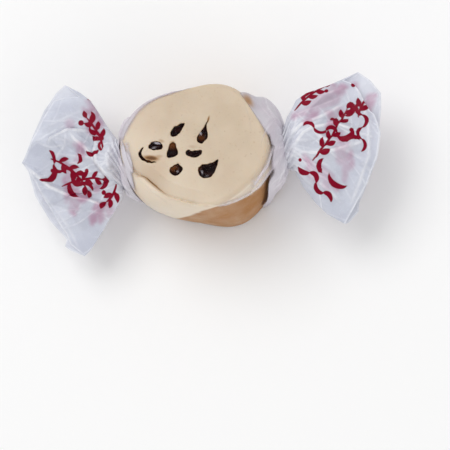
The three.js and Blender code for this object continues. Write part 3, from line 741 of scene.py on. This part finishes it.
def body_part(surface, sheet_angle):
    """The sheet between the two necks: rows of points along X, columns round the taffy."""
    spacing = (1 - np.linspace(0, 1, SHOULDER_ROWS)) ** 1.25
    left, right = (NECK_AT - (NECK_AT - SHOULDER_START[side]) * spacing for side in (-1, 1))
    middle = np.linspace(-SHOULDER_START[-1], SHOULDER_START[1], BODY_ROWS)
    stations = np.concatenate([-left[::-1], middle[1:-1], right])
    distance = np.abs(stations)
    turned = np.array([swirl(int(np.sign(x)) or 1, abs(x)) for x in stations])
    angle = sheet_angle[None, :] + turned[:, None]

    def reach(x, a):
        turn = math.radians(a)
        start = Vector((x, 0, AXIS_HEIGHT))
        direction = Vector((0, math.cos(turn), math.sin(turn)))
        hit = surface.ray_cast(start, direction)
        return hit[3] if hit[0] is not None else 0.0

    radius = np.array([[reach(x, a) for a in row] for x, row in zip(stations, angle)])
    radius += FILM_GAP + FILM / 2
    for side in (-1, 1):
        rows = np.flatnonzero(stations * side >= SHOULDER_START[side] - 1e-6)
        if side < 0:
            rows = rows[::-1]
        away = np.clip((distance[rows] - SHOULDER_START[side]) / (NECK_AT - SHOULDER_START[side]), 0, 1)
        for column in range(radius.shape[1]):
            fullness = SHOULDER_FULLNESS[side]
            if side > 0:
                for heading, spread_over, tight in TAUT:
                    tautness = bell(degrees_apart(angle[rows, column], heading), spread_over)
                    fullness = lerp(fullness, tight, tautness)
            rounded = (1 - away ** SHOULDER_ROUNDNESS[side]) ** fullness
            neck = neck_reach(angle[rows, column])
            start = radius[rows[0], column]
            taut = np.maximum(radius[rows, column], lerp(neck, start, rounded))
            radius[rows, column] = pull_taut(distance[rows], taut)
    gather = np.clip((distance - PLEATS_FROM) / (NECK_AT - PLEATS_FROM), 0, 1) ** 2.4
    radius += PLEAT_HEIGHT * gather[:, None] * pleats(sheet_angle)[None, :]
    radius -= 0.35 * PLEAT_HEIGHT * smoothstep(distance, 13.0, NECK_AT)[:, None]

    turn = np.radians(angle)
    x = np.broadcast_to(stations[:, None], radius.shape)
    return np.stack([x, radius * np.cos(turn), AXIS_HEIGHT + radius * np.sin(turn)], -1)


def small_creases(side, face):
    """Random creases of one layer of a fan, mostly running outwards from the neck."""
    draw = np.random.default_rng(40 + 2 * side + face)
    found = []
    for _ in range(SMALL_CREASES):
        out, up = draw.uniform(1.0, 14.5), draw.uniform(-10, 10)
        heading = math.atan2(up, out + 1) + draw.normal(0, 0.7)
        length = draw.uniform(1.5, 5)
        bend = draw.uniform(-0.3, 0.3)
        line = []
        for s in (-0.5, 0, 0.5):
            turn = heading + bend * s
            line.append((out + s * length * math.cos(turn), up + s * length * math.sin(turn)))
        found.append((line, *(draw.uniform(*limits) for limits in SMALL_CREASE_SIZES)))
    for k in range(LONG_CREASES):
        heading = math.radians(lerp(-58, 58, (k + draw.uniform(0.1, 0.9)) / LONG_CREASES))
        line = []
        for r in (1.2, 5, draw.uniform(8, 13)):
            x = r * math.cos(heading + draw.normal(0, 0.04))
            line.append((x, r * math.sin(heading + draw.normal(0, 0.04))))
        found.append((line, *(draw.uniform(*limits) for limits in LONG_CREASE_SIZES)))
    return found


def fan_part(side, sheet_angle):
    """One fan: rows from the neck out to the free edge, and what the paper looks like at each point."""
    fan = FANS[side]
    shares = (np.arange(1, FAN_ROWS + 1) / FAN_ROWS) ** 1.12
    grid = shares[:, None] + 0 * sheet_angle[None, :]
    # the twist runs on past the neck, then each direction keeps its place on the lens
    angle = (sheet_angle[None, :] + swirl(side, NECK_AT + 14 * grid)) % 360
    face = np.where(angle <= 180, 1, -1)
    across = np.where(angle <= 180, angle / 180, (360 - angle) / 180)

    neck = np.stack([np.zeros_like(across), NECK_Y * np.cos(np.pi * across)], -1)
    edge = np.where((face > 0)[..., None], along(fan["front"], across), along(fan["back"], across))
    top, bottom = along(fan["top"], grid), along(fan["bottom"], grid)
    s, a = grid[..., None], across[..., None]
    inner, outer = (lerp(np.array(fan["top"][i]), np.array(fan["bottom"][i]), a) for i in (0, -1))
    flat = lerp(neck, edge, s) + lerp(top, bottom, a) - lerp(inner, outer, s)
    out, up = flat[..., 0], flat[..., 1]

    roundness = np.sin(np.pi * across)
    lens = roundness ** (1 - 0.5 * np.minimum(1, 3 * grid))
    half_gap = lerp(NECK_Z, fan["puff"] * (1 - 0.45 * grid), smoothstep(grid, 0, 0.38)) * lens
    relief, white = np.zeros_like(out), np.zeros_like(out)
    for which in (1, -1):
        total, line_total = crumpled(out, up, seed=300 + 10 * side + which)
        line_total *= 0.45
        for line, height, left, right, whitened in CREASES[side, which] + small_creases(side, which):
            total += crease(out, up, line, height, left, right)
            line_total = np.maximum(line_total, whitened * crest(out, up, line))
        relief = np.where(face == which, total, relief)
        white = np.where(face == which, line_total, white)
    relief *= np.minimum(1, roundness * 2.5) * smoothstep(grid, 0, 0.12)
    points = np.stack([out, up, 10.0 * face], -1)
    relief += 0.12 * waves(points, 8, seed=31 + side) * roundness**0.5 * grid

    near = (1 - grid) ** NEAR_NECK[side]
    gathered = pleats(sheet_angle)[None, :]
    pleat = PLEAT_HEIGHT * (gathered - 0.35) * near
    white = np.maximum(white, 0.6 * smoothstep(gathered, 0.5, 0.9) * near)
    white = np.maximum(white, 0.6 * smoothstep(grid, 0.975, 0.99))
    turn = np.radians(angle)
    middle = AXIS_HEIGHT + fan["lean"][0] * out + fan["lean"][1] * up * grid
    z = middle + face * (half_gap + relief) + pleat * np.sin(turn)
    y = up + pleat * np.cos(turn) * near
    printed, ghost = print_distance(side, flat, face)
    looks = {"print": printed, "ghost": ghost, "crease": white, "dense": (1 - grid) ** DENSE_NECK[side]}
    return np.stack([side * (NECK_AT + out), y, z], -1), looks


def grid_normals(points):
    rows, columns = np.gradient(points, axis=0), np.gradient(points, axis=1)
    normal = np.cross(rows, columns)
    return normal / np.maximum(np.linalg.norm(normal, axis=-1, keepdims=True), 1e-9)


def shell(name, middle, normal, thickness):
    """A thin closed sheet: the grid's points moved both ways along their normals, joined round the rim."""
    rows, columns = middle.shape[:2]
    outside, inside = middle + normal * thickness / 2, middle - normal * thickness / 2
    count = rows * columns
    r, c = np.meshgrid(np.arange(rows - 1), np.arange(columns - 1), indexing="ij")
    a = (r * columns + c).ravel()
    b, d, e = a + 1, a + columns + 1, a + columns
    faces = np.concatenate([np.stack([a, e, d, b], -1), np.stack([a, b, d, e], -1) + count])
    down, back = np.arange(2, rows + 1) * columns - 1, np.arange(count - 2, count - columns - 1, -1)
    rim = np.concatenate([np.arange(columns), down, back, np.arange(rows - 2, 0, -1) * columns])
    after = np.roll(rim, -1)
    faces = np.concatenate([faces, np.stack([rim, after, after + count, rim + count], -1)])
    piece = mesh_object(name, np.concatenate([outside.reshape(-1, 3), inside.reshape(-1, 3)]), faces.tolist())
    if signed_volume(piece) < 0:
        piece.data.flip_normals()
    piece.data.set_sharp_from_angle(angle=math.radians(75))
    return piece


def stroke(x, y, line, width, blunt=0.6):
    """Signed distance from a brush stroke, negative inside it, that tapers to both ends."""
    distance, share = from_line(x, y, line)
    return np.abs(distance) - width / 2 * np.sin(np.pi * np.clip(share, 0.02, 0.98)) ** blunt


def curl(x, y, heading, length, bend, steps=9):
    """A line that starts at a point and bends steadily, by bend degrees in all."""
    line = [(x, y)]
    for k in range(steps):
        turn = math.radians(heading + bend * (k + 0.5) / steps)
        x, y = x + length / steps * math.cos(turn), y + length / steps * math.sin(turn)
        line.append((x, y))
    return line


def sprig(x, y, heading, length, bend, leaves):
    """A stem with leaves on both sides: the brush strokes that it is made of."""
    stem = curl(x, y, heading, length, bend, steps=12)
    strokes = [(stem, 0.42, 0.25)]
    for k in range(leaves):
        at = int(round(lerp(1, 12, (k + 1) / leaves)))
        (ax, ay), (bx, by) = stem[at - 1], stem[at]
        way = math.degrees(math.atan2(by - ay, bx - ax))
        side = 1 if k % 2 else -1
        last = k == leaves - 1
        size = 1.9 - 0.5 * k / leaves
        strokes.append((curl(bx, by, way if last else way + side * 58, size, -side * 40, 6), 0.85, 0.8))
    return strokes


def ribbon(x, y, heading, width, turns):
    """A wavy band, thin where it changes the way it bends: the brush strokes that it is made of."""
    strokes = []
    for length, bend in turns:
        line = curl(x, y, heading, length, bend)
        strokes.append((line, width, 0.4))
        (x, y), heading = line[-1], heading + bend
    return strokes


# Print on each layer of each fan. Sprigs: start, heading, length, bend, leaves.
# Crescents: start, heading, length, bend, width. Dots: middle, radius.
# Ribbons: start, heading, width, and the length and bend of each turn.
PRINT = {
    (-1, 1): dict(
        sprigs=[(12, 2.2, 205, 8.6, 42, 9), (2.6, 2.4, 78, 6.6, -26, 7), (10.6, -2.6, 160, 7.4, 36, 7),
                (1, -3.6, 290, 3.4, 40, 4)],
        crescents=[(11.6, 1, 250, 4.4, 140, 1.1), (7.8, -4.8, 10, 3.6, 110, 1),
                   (5.6, 2.6, 250, 2.8, -130, 0.8), (4.6, 9.4, 230, 3, 130, 0.9),
                   (2.6, -2, 250, 2.8, 120, 0.9), (7.4, 2.4, 200, 2.2, 150, 0.7)],
        ribbons=[(12.2, 3.6, 215, 0.62, [(2.6, 80), (2.6, -150), (2.8, 150), (2.6, -140), (2.6, 120)]),
                 (4.9, 6.8, 290, 0.55, [(2.2, -110), (2.2, 130), (1.8, -110)])],
        dots=[(6.4, 7.6, 0.5), (6, -0.6, 0.34), (12, 0.2, 0.34), (1.2, 7, 0.36), (3.4, -4.6, 0.4)],
    ),
    (1, 1): dict(
        sprigs=[(4.6, -3.2, 42, 10.2, 18, 10), (2.2, 5.6, 48, 6.4, -30, 7), (12.8, 3, 78, 3.4, -30, 4)],
        crescents=[(7, -5.6, 262, 4.4, 120, 0.95), (9, 0.4, 300, 3.8, 150, 1.1),
                   (10.6, 3.6, 350, 3.2, 150, 0.95), (6.4, -3, 200, 3, 120, 0.8), (3, 8.2, 340, 3.4, 130, 1),
                   (12.6, -0.8, 120, 2.6, 130, 0.8)],
        ribbons=[(12.9, 5.4, 230, 0.62, [(2.6, 110), (2.6, -150), (2.6, 140), (2.4, -130)]),
                 (10.9, -0.4, 200, 0.62, [(2.6, -110), (2.6, 140), (2.4, -130), (2.2, 120)]),
                 (2.2, -4.1, 292, 0.8, [(2.2, 70), (2.3, -125), (2.4, 125), (2.2, -110)])],
        dots=[(5.6, -5, 0.4), (8.4, 3.2, 0.36), (2.6, -3, 0.3), (12.4, 8.6, 0.42), (11.4, 1, 0.32),
              (7.8, 8.2, 0.34)],
    ),
    (-1, -1): dict(
        sprigs=[(3, 4, 65, 7, 20, 7), (9.8, 1.8, 250, 8, 30, 8), (2.2, -5.4, 300, 4, 30, 4)],
        crescents=[(7.6, 4, 200, 3.4, 140, 1.1), (6, -4, 280, 3.4, 140, 1.1)],
        dots=[(8.3, 7.6, 0.5), (4.6, -3.6, 0.45)],
    ),
    (1, -1): dict(
        sprigs=[(3.4, 5.2, 20, 7, 10, 8), (3.4, -2.6, 300, 6, 20, 6), (9.6, -6.8, 80, 6, 20, 6)],
        crescents=[(6.4, 7.4, 330, 4.2, 140, 1.2), (7.6, 2, 20, 3.4, 140, 1)],
        ribbons=[(2, 4.4, 60, 0.9, [(2.6, -110), (2.6, 150), (2.6, -140), (2.4, 120)])],
        dots=[(4.4, 3.4, 0.5), (9.8, 4.4, 0.45)],
    ),
}


def print_distance(side, flat, face):
    """Signed distance from the print on a fan's own layer, negative inside it, and on the one behind."""
    out, up = flat[..., 0], flat[..., 1]
    nearest, beyond = np.ones(out.shape), np.ones(out.shape)
    for which in (1, -1):
        here = np.ones(out.shape)
        motifs = PRINT[side, which]
        strokes = [(curl(*crescent[:5]), crescent[5], 0.7) for crescent in motifs["crescents"]]
        for sizes in motifs.get("ribbons", []):
            strokes += ribbon(*sizes)
        for sizes in motifs["sprigs"]:
            strokes += sprig(*sizes)
        for line, width, blunt in strokes:
            here = np.minimum(here, stroke(out, up, line, width, blunt))
        for x, y, radius in motifs["dots"]:
            here = np.minimum(here, np.hypot(out - x, up - y) - radius)
        nearest = np.where(face == which, here, nearest)
        beyond = np.where(face == which, beyond, here)
    return nearest, beyond


def rim_relief(middle):
    """Height of the paper's pleats along the taffy's rim and of its facets by the necks, and how white."""
    height, white = np.zeros(middle.shape[:2]), np.zeros(middle.shape[:2])
    for line, rise, reach, whitened in RIM_FOLDS:
        distance, share = from_seen_line(middle, line)
        distance = np.abs(distance)
        ends = fading(share, 0.12) * smoothstep(middle[..., 2], 6, 8)
        height += rise * np.maximum(0, 1 - distance / reach) ** 0.7 * ends
        white = np.maximum(white, whitened * bell(distance, 0.55 * reach) * ends)
    from_middle = np.abs(middle[..., 0])
    around = np.degrees(np.arctan2(middle[..., 2] - AXIS_HEIGHT, middle[..., 1]))
    facet_height, facet_line = crumpled(from_middle * 1.2, around / 8, seed=77)
    bridging = smoothstep(from_middle, *BRIDGING) * (from_middle < NECK_AT + 0.01)
    height += 0.7 * np.maximum(0, facet_height + 0.1) * bridging
    return height, np.maximum(white, 0.6 * facet_line * bridging)


def veil_on_taffy(surface, middle, bare):
    """How milky the paper is round the taffy, 0 where it clings to it."""
    lift = np.array([surface.find_nearest(Vector(p))[3] for p in bare.reshape(-1, 3)])
    veil = smoothstep(lift.reshape(middle.shape[:2]), CLINGS, STANDS_OFF)
    x, y, z = np.moveaxis(middle, -1, 0)
    rim = smoothstep(-y, -0.5, 1) * smoothstep(x, 5, 7) * (1 - smoothstep(x, 11.8, 12.4))
    veil *= 1 - 0.85 * rim * smoothstep(z, 11.8, 13.2)
    near_side = smoothstep(-y, 3, 4) * smoothstep(x, -10.5, -9) * (1 - smoothstep(z, 14, 15))
    veil *= 1 - near_side * (1 - smoothstep(x - np.interp(z, *zip(*CLING_EDGE)), -0.12, 0.12))
    # painted glints on the chocolate, as milky spots in the paper over it
    veil = np.maximum(veil, patches(x, y, PAINTED_GLINTS) * (z > TAFFY_FRONT - 2))
    for line, milky in FACE_EDGES:
        distance, share = from_line(x, y, line)
        here = fading(share, 0.06) * smoothstep(z, 9, 12)
        past = smoothstep(distance, -0.06, 0.26)
        veil = lerp(veil, np.maximum(past * milky, veil * past), here * (np.abs(distance) < 2.5))
    return veil


def make_wrapper(surface, paper):
    """The sheet: the left fan, the part round the taffy and the right fan, as four pieces of film."""
    turned = np.linspace(0, 1, FILM_COLUMNS + 1) * SHEET_TURN
    sheet_angle = SHEET_START + turned
    body = body_part(surface, sheet_angle)
    left, left_looks = fan_part(-1, sheet_angle)
    right, right_looks = fan_part(1, sheet_angle)
    middle = np.concatenate([left[::-1], body, right])
    dense = smoothstep(np.abs(body[..., 0]), 8.5, 11.5)
    looks = {}
    for look, between in {"crease": 0.0, "dense": dense, "print": 0.5, "ghost": 0.5}.items():
        between = np.broadcast_to(between, body.shape[:2])
        looks[look] = np.concatenate([left_looks[look][::-1], between, right_looks[look]])

    normal = grid_normals(middle)
    row = len(left) + BODY_ROWS // 2
    if np.sum(normal[row, :, 2] * (middle[row, :, 2] - AXIS_HEIGHT)) < 0:
        normal = -normal
    fold, rim_white = rim_relief(middle)
    looks["crease"] = np.maximum(looks["crease"], rim_white)
    layer = smoothstep(turned, RISE_FROM, RISE_TO)[None, :] * (FILM + LAYER_GAP)
    bare = middle
    middle = middle + normal * (fold + layer)[..., None]

    # it lies flat on what it stands on
    floor = np.where(turned < 180, FILM + LAYER_GAP, 0)[None, :] + FILM / 2
    middle[..., 2] = np.maximum(middle[..., 2], floor)
    renewed = grid_normals(middle)
    normal = renewed * np.sign(np.sum(normal * renewed))

    left_end, half_way, right_start = len(left), len(left) + len(body) // 2, len(left) + len(body) - 1
    parts = {
        "film_left_fan": slice(0, left_end + 1),
        "film_left_half": slice(left_end, half_way + 1),
        "film_right_half": slice(half_way, right_start + 1),
        "film_right_fan": slice(right_start, len(middle)),
    }
    for name, rows in parts.items():
        piece = shell(name, middle[rows], normal[rows], FILM)
        x, y, z = np.moveaxis(middle[rows], -1, 0)
        here = {look: values[rows] for look, values in looks.items()}
        here["veil"], here["tan"] = np.ones(x.shape), np.zeros(x.shape)
        if name.endswith("half"):
            veil = veil_on_taffy(surface, middle[rows], bare[rows])
            here["veil"] = np.maximum(veil, rim_white[rows])
            here["tan"] = patches(x, y, POCKETS) * smoothstep(z, AXIS_HEIGHT, AXIS_HEIGHT + 4)
        here["dense"] = here["dense"] * here["veil"]
        if name == "film_right_half":
            lower_right = smoothstep(x, 8.6, 10.2) * smoothstep(-y, 1.5, 4)
            here["dense"] = np.maximum(here["dense"], lower_right * here["veil"])
        for look in ("veil", "tan", "crease", "dense", "print", "ghost"):
            set_attribute(piece, look, np.tile(here[look].ravel(), 2))
        piece.data.materials.append(paper)
        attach(piece, "root")
        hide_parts("wrapper")


# ---- Materials ----


def linear(red, green, blue):
    """A colour given as it looks on a screen, 0 to 255."""
    values = [c / 255 for c in (red, green, blue)]
    return (*(c / 12.92 if c <= 0.04045 else ((c + 0.055) / 1.055) ** 2.4 for c in values), 1)


TAFFY, TAFFY_MOTTLE, TAFFY_BLUSH = linear(210, 192, 169), linear(203, 184, 160), linear(209, 183, 160)
# the second colour on the next line is painted light for the lit lower left, lip and rounded rim
# the third colour on the next line is painted shade for the undercut near side
TAFFY_FLECK, TAFFY_LIT, TAFFY_UNDER_SHADE = linear(176, 146, 112), linear(229, 214, 194), linear(165, 113, 64)
# these browns also paint the shadow lines in the groove and along the paper's folds
STAIN_AND_SHADOW, DARK_STAIN_AND_SHADOW = linear(158, 112, 56), linear(84, 46, 20)
CHOCOLATE, CHOCOLATE_STREAK, CHOCOLATE_PALE = linear(16, 3, 4), linear(34, 10, 8), linear(98, 54, 22)
PAPER, PAPER_CLOUD, PAPER_BRIDGING = linear(233, 236, 245), linear(223, 226, 237), linear(221, 219, 225)
PAPER_FIBRE, PAPER_CREASE, PAPER_GHOST = linear(236, 238, 245), linear(250, 250, 253), linear(207, 160, 188)
PAPER_TAN, CRIMSON, CRIMSON_LIGHT = linear(196, 150, 98), linear(132, 0, 34), linear(156, 2, 44)


def add_node(tree, kind, inputs=None, **settings):
    made = tree.nodes.new(kind)
    for name, value in settings.items():
        setattr(made, name, value)
    for key, value in (inputs or {}).items():
        if isinstance(value, bpy.types.NodeSocket):
            tree.links.new(value, made.inputs[key])
        else:
            made.inputs[key].default_value = value
    return made


def maths(tree, operation, a, b=0.0):
    return add_node(tree, "ShaderNodeMath", {0: a, 1: b}, operation=operation).outputs[0]


def times(tree, a, b):
    return maths(tree, "MULTIPLY", a, b)


def plus(tree, a, b):
    return maths(tree, "ADD", a, b)


def mixed(tree, share, a, b):
    made = add_node(tree, "ShaderNodeMix", {0: share, 6: a, 7: b}, data_type="RGBA")
    return made.outputs[2]


def spread(tree, value, low, high, to_low=0.0, to_high=1.0):
    inputs = {"Value": value, "From Min": low, "From Max": high, "To Min": to_low, "To Max": to_high}
    return add_node(tree, "ShaderNodeMapRange", inputs, interpolation_type="SMOOTHSTEP").outputs["Result"]


def read_attribute(tree, name):
    return add_node(tree, "ShaderNodeAttribute", attribute_name=name).outputs["Fac"]


def place(tree):
    """Object coordinates in millimetres."""
    where = add_node(tree, "ShaderNodeTexCoord").outputs["Object"]
    return add_node(tree, "ShaderNodeVectorMath", {0: where, "Scale": 1 / MM}, operation="SCALE").outputs[0]


def noise(tree, where, scale, detail=3.0, roughness=0.5):
    inputs = {"Vector": where, "Scale": scale, "Detail": detail, "Roughness": roughness}
    return add_node(tree, "ShaderNodeTexNoise", inputs).outputs["Fac"]


def bump(tree, height, strength, distance):
    inputs = {"Height": height, "Strength": strength, "Distance": distance}
    return add_node(tree, "ShaderNodeBump", inputs).outputs["Normal"]


def new_material(name, shade):
    """A material with the surface that shade puts into its node tree."""
    material = bpy.data.materials.new(name)
    material.use_nodes = True
    tree = material.node_tree
    tree.nodes.clear()
    output = add_node(tree, "ShaderNodeOutputMaterial")
    tree.links.new(shade(tree).outputs[0], output.inputs["Surface"])
    return material


def shade_taffy(tree):
    where = place(tree)
    mottle = spread(tree, noise(tree, where, 0.16), 0.35, 0.65)
    colour = mixed(tree, mottle, TAFFY, TAFFY_MOTTLE)
    blush = spread(tree, noise(tree, where, 0.09, 1.0), 0.45, 0.7)
    colour = mixed(tree, times(tree, blush, 0.5), colour, TAFFY_BLUSH)
    flecks = spread(tree, noise(tree, where, 2.6, 1.0), 0.67, 0.77)
    colour = mixed(tree, times(tree, flecks, 0.4), colour, TAFFY_FLECK)
    # painted light on the lit lower left, lip and rounded rim
    colour = mixed(tree, read_attribute(tree, "painted_light"), colour, TAFFY_LIT)
    # painted shade on the taffy's undercut near side, and softly darker towards the bottom all round
    painted_under_shade = times(tree, read_attribute(tree, "painted_under_shade"), spread(tree, noise(tree, where, 0.3), 0, 1, 0.7, 1))
    colour = mixed(tree, painted_under_shade, colour, TAFFY_UNDER_SHADE)
    # brown from the chocolate by the strands, and painted shadow lines in the groove and along the paper's
    # folds
    amount = read_attribute(tree, "brown_marks")
    colour = mixed(tree, spread(tree, amount, 0.05, 0.75), colour, STAIN_AND_SHADOW)
    colour = mixed(tree, spread(tree, amount, 0.45, 0.9), colour, DARK_STAIN_AND_SHADOW)
    grain = plus(tree, noise(tree, where, 1.4, 4.0), times(tree, noise(tree, where, 9.0, 2.0), 0.25))
    inputs = {
        "Base Color": colour,
        "Roughness": spread(tree, noise(tree, where, 0.5), 0.3, 0.7, 0.4, 0.55),
        "Subsurface Weight": 0.2,
        "Subsurface Radius": (1.0, 0.55, 0.3),
        "Subsurface Scale": 0.001,
        "Normal": bump(tree, grain, 0.35, 0.00012),
        "Specular IOR Level": spread(tree, painted_under_shade, 0, 1, 0.25, 0.03),
        "Coat Weight": spread(tree, painted_under_shade, 0, 1, 0.06, 0.01),
        "Coat Roughness": 0.32,
    }
    return add_node(tree, "ShaderNodeBsdfPrincipled", inputs)


def shade_chocolate(tree):
    where = place(tree)
    streaks = spread(tree, noise(tree, where, 1.3, 3.0), 0.45, 0.7)
    colour = mixed(tree, streaks, CHOCOLATE, CHOCOLATE_STREAK)
    colour = mixed(tree, read_attribute(tree, "amber"), colour, CHOCOLATE_PALE)
    inputs = {
        "Base Color": colour,
        "Roughness": spread(tree, noise(tree, where, 1.2), 0.3, 0.7, 0.3, 0.5),
        "Specular IOR Level": 0.03,
        "Normal": bump(tree, noise(tree, where, 1.1, 2.0), 0.3, 0.0001),
        "Coat Weight": 0.03,
        "Coat Roughness": 0.06,
    }
    return add_node(tree, "ShaderNodeBsdfPrincipled", inputs)


def facets(tree, where, scale):
    """A net of creases: the distance to the nearest edge between random cells."""
    inputs = {"Vector": where, "Scale": scale}
    cells = add_node(tree, "ShaderNodeTexVoronoi", inputs, feature="DISTANCE_TO_EDGE")
    return maths(tree, "MINIMUM", cells.outputs["Distance"], 0.35)


def shade_paper(tree):
    where = place(tree)
    veil = read_attribute(tree, "veil")
    ink = spread(tree, read_attribute(tree, "print"), 0.06, -0.06)
    cloud = spread(tree, noise(tree, where, 0.22), 0.35, 0.65)
    white = mixed(tree, cloud, PAPER, PAPER_CLOUD)
    across = add_node(tree, "ShaderNodeSeparateXYZ", {0: where}).outputs["X"]
    bridging = spread(tree, maths(tree, "ABSOLUTE", across), 12.5, 16.5, 1, 0)
    white = mixed(tree, bridging, white, PAPER_BRIDGING)
    fibres = spread(tree, noise(tree, where, 3.5, 2.0), 0.55, 0.75)
    white = mixed(tree, times(tree, fibres, 0.2), white, PAPER_FIBRE)
    worn = spread(tree, noise(tree, where, 0.7), 0.3, 0.6, 0.45, 1)
    creased = times(tree, read_attribute(tree, "crease"), worn)
    white = mixed(tree, times(tree, creased, 0.95), white, PAPER_CREASE)
    ghost = spread(tree, read_attribute(tree, "ghost"), 0.8, -0.2, 0, 0.75)
    white = mixed(tree, times(tree, ghost, spread(tree, cloud, 0, 1, 0.5, 1)), white, PAPER_GHOST)
    crimson = mixed(tree, noise(tree, where, 0.8), CRIMSON, CRIMSON_LIGHT)
    white = mixed(tree, read_attribute(tree, "tan"), white, PAPER_TAN)
    colour = mixed(tree, ink, white, crimson)
    net = plus(tree, facets(tree, where, 0.35), times(tree, facets(tree, where, 0.9), 0.4))
    wrinkles = plus(tree, times(tree, noise(tree, where, 2.5, 2.0), 0.2), net)
    normal = bump(tree, wrinkles, 0.25, 0.0003)
    inputs = {
        "Base Color": colour,
        "Roughness": spread(tree, cloud, 0, 1, 0.36, 0.48),
        "Normal": normal,
        "Specular IOR Level": spread(tree, ink, 0, 1, 0.45, 0.12),
    }
    surface = add_node(tree, "ShaderNodeBsdfPrincipled", inputs)
    glow = add_node(tree, "ShaderNodeBsdfTranslucent", {"Color": colour, "Normal": normal})
    dense = read_attribute(tree, "dense")
    through = spread(tree, dense, 0, 1, 0.24, 0.05)
    sheet = add_node(tree, "ShaderNodeMixShader", {0: through, 1: surface.outputs[0], 2: glow.outputs[0]})
    mist = times(tree, times(tree, fibres, veil), 0.05)
    cover = plus(tree, spread(tree, veil, 0, 1, 0.0015, 0.62), mist)
    cover = plus(tree, cover, times(tree, dense, 0.33))
    cover = plus(tree, cover, times(tree, times(tree, creased, veil), 0.4))
    cover = maths(tree, "MAXIMUM", cover, times(tree, ink, 0.95))
    clear = add_node(tree, "ShaderNodeBsdfTransparent")
    return add_node(tree, "ShaderNodeMixShader", {0: cover, 1: clear.outputs[0], 2: sheet.outputs[0]})


def shade_floor(tree):
    inputs = {"Base Color": (FLOOR_WHITE, FLOOR_WHITE, FLOOR_WHITE, 1), "Roughness": 0.9}
    return add_node(tree, "ShaderNodeBsdfPrincipled", inputs)


# ---- Studio ----


def make_camera():
    right, up, toward = view_axes()
    across = (PHOTO_SIZE / 2 - TAFFY_PIXEL[0]) / PIXELS_PER_MM
    down = (PHOTO_SIZE / 2 - TAFFY_PIXEL[1]) / PIXELS_PER_MM
    aim = Vector((0, 0, AXIS_HEIGHT)) + right * across - up * down
    data = bpy.data.cameras.new("camera")
    data.sensor_width = SENSOR
    data.lens = SENSOR * VIEW_DISTANCE * PIXELS_PER_MM / PHOTO_SIZE
    data.clip_start, data.clip_end = 0.01, 20
    camera = bpy.data.objects.new("camera", data)
    turned = Matrix((right, up, toward)).transposed().to_4x4()
    camera.matrix_world = Matrix.Translation((aim + toward * VIEW_DISTANCE) * MM) @ turned
    bpy.context.scene.collection.objects.link(camera)
    bpy.context.scene.camera = camera


def soft_light(name, at, size, power):
    data = bpy.data.lights.new(name, "AREA")
    data.size, data.energy = size, power
    light = bpy.data.objects.new(name, data)
    light.location = at
    light.rotation_mode = "QUATERNION"
    light.rotation_quaternion = Vector(at).to_track_quat("Z", "Y")
    bpy.context.scene.collection.objects.link(light)


def make_studio():
    corners = np.array([(-1, -1, 0), (1, -1, 0), (1, 1, 0), (-1, 1, 0)]) * FLOOR_REACH
    floor = mesh_object("floor", corners, [(0, 1, 2, 3)])
    floor.data.materials.append(new_material("floor", shade_floor))
    world = bpy.data.worlds.new("studio")
    world.use_nodes = True
    background = world.node_tree.nodes["Background"]
    background.inputs["Color"].default_value = (1, 1, 1, 1)
    background.inputs["Strength"].default_value = WORLD_LIGHT
    bpy.context.scene.world = world
    for name, sizes in LIGHTS.items():
        soft_light(name, *sizes)
    bpy.context.scene.view_settings.view_transform = "Standard"


make_camera()
make_studio()
taffy_surface = make_taffy()
chocolate = new_material("chocolate", shade_chocolate)
for strand_number, strand_corners in enumerate(STRANDS, 1):
    make_strand(strand_number, strand_corners, chocolate)
make_wrapper(taffy_surface, new_material("waxed_paper", shade_paper))
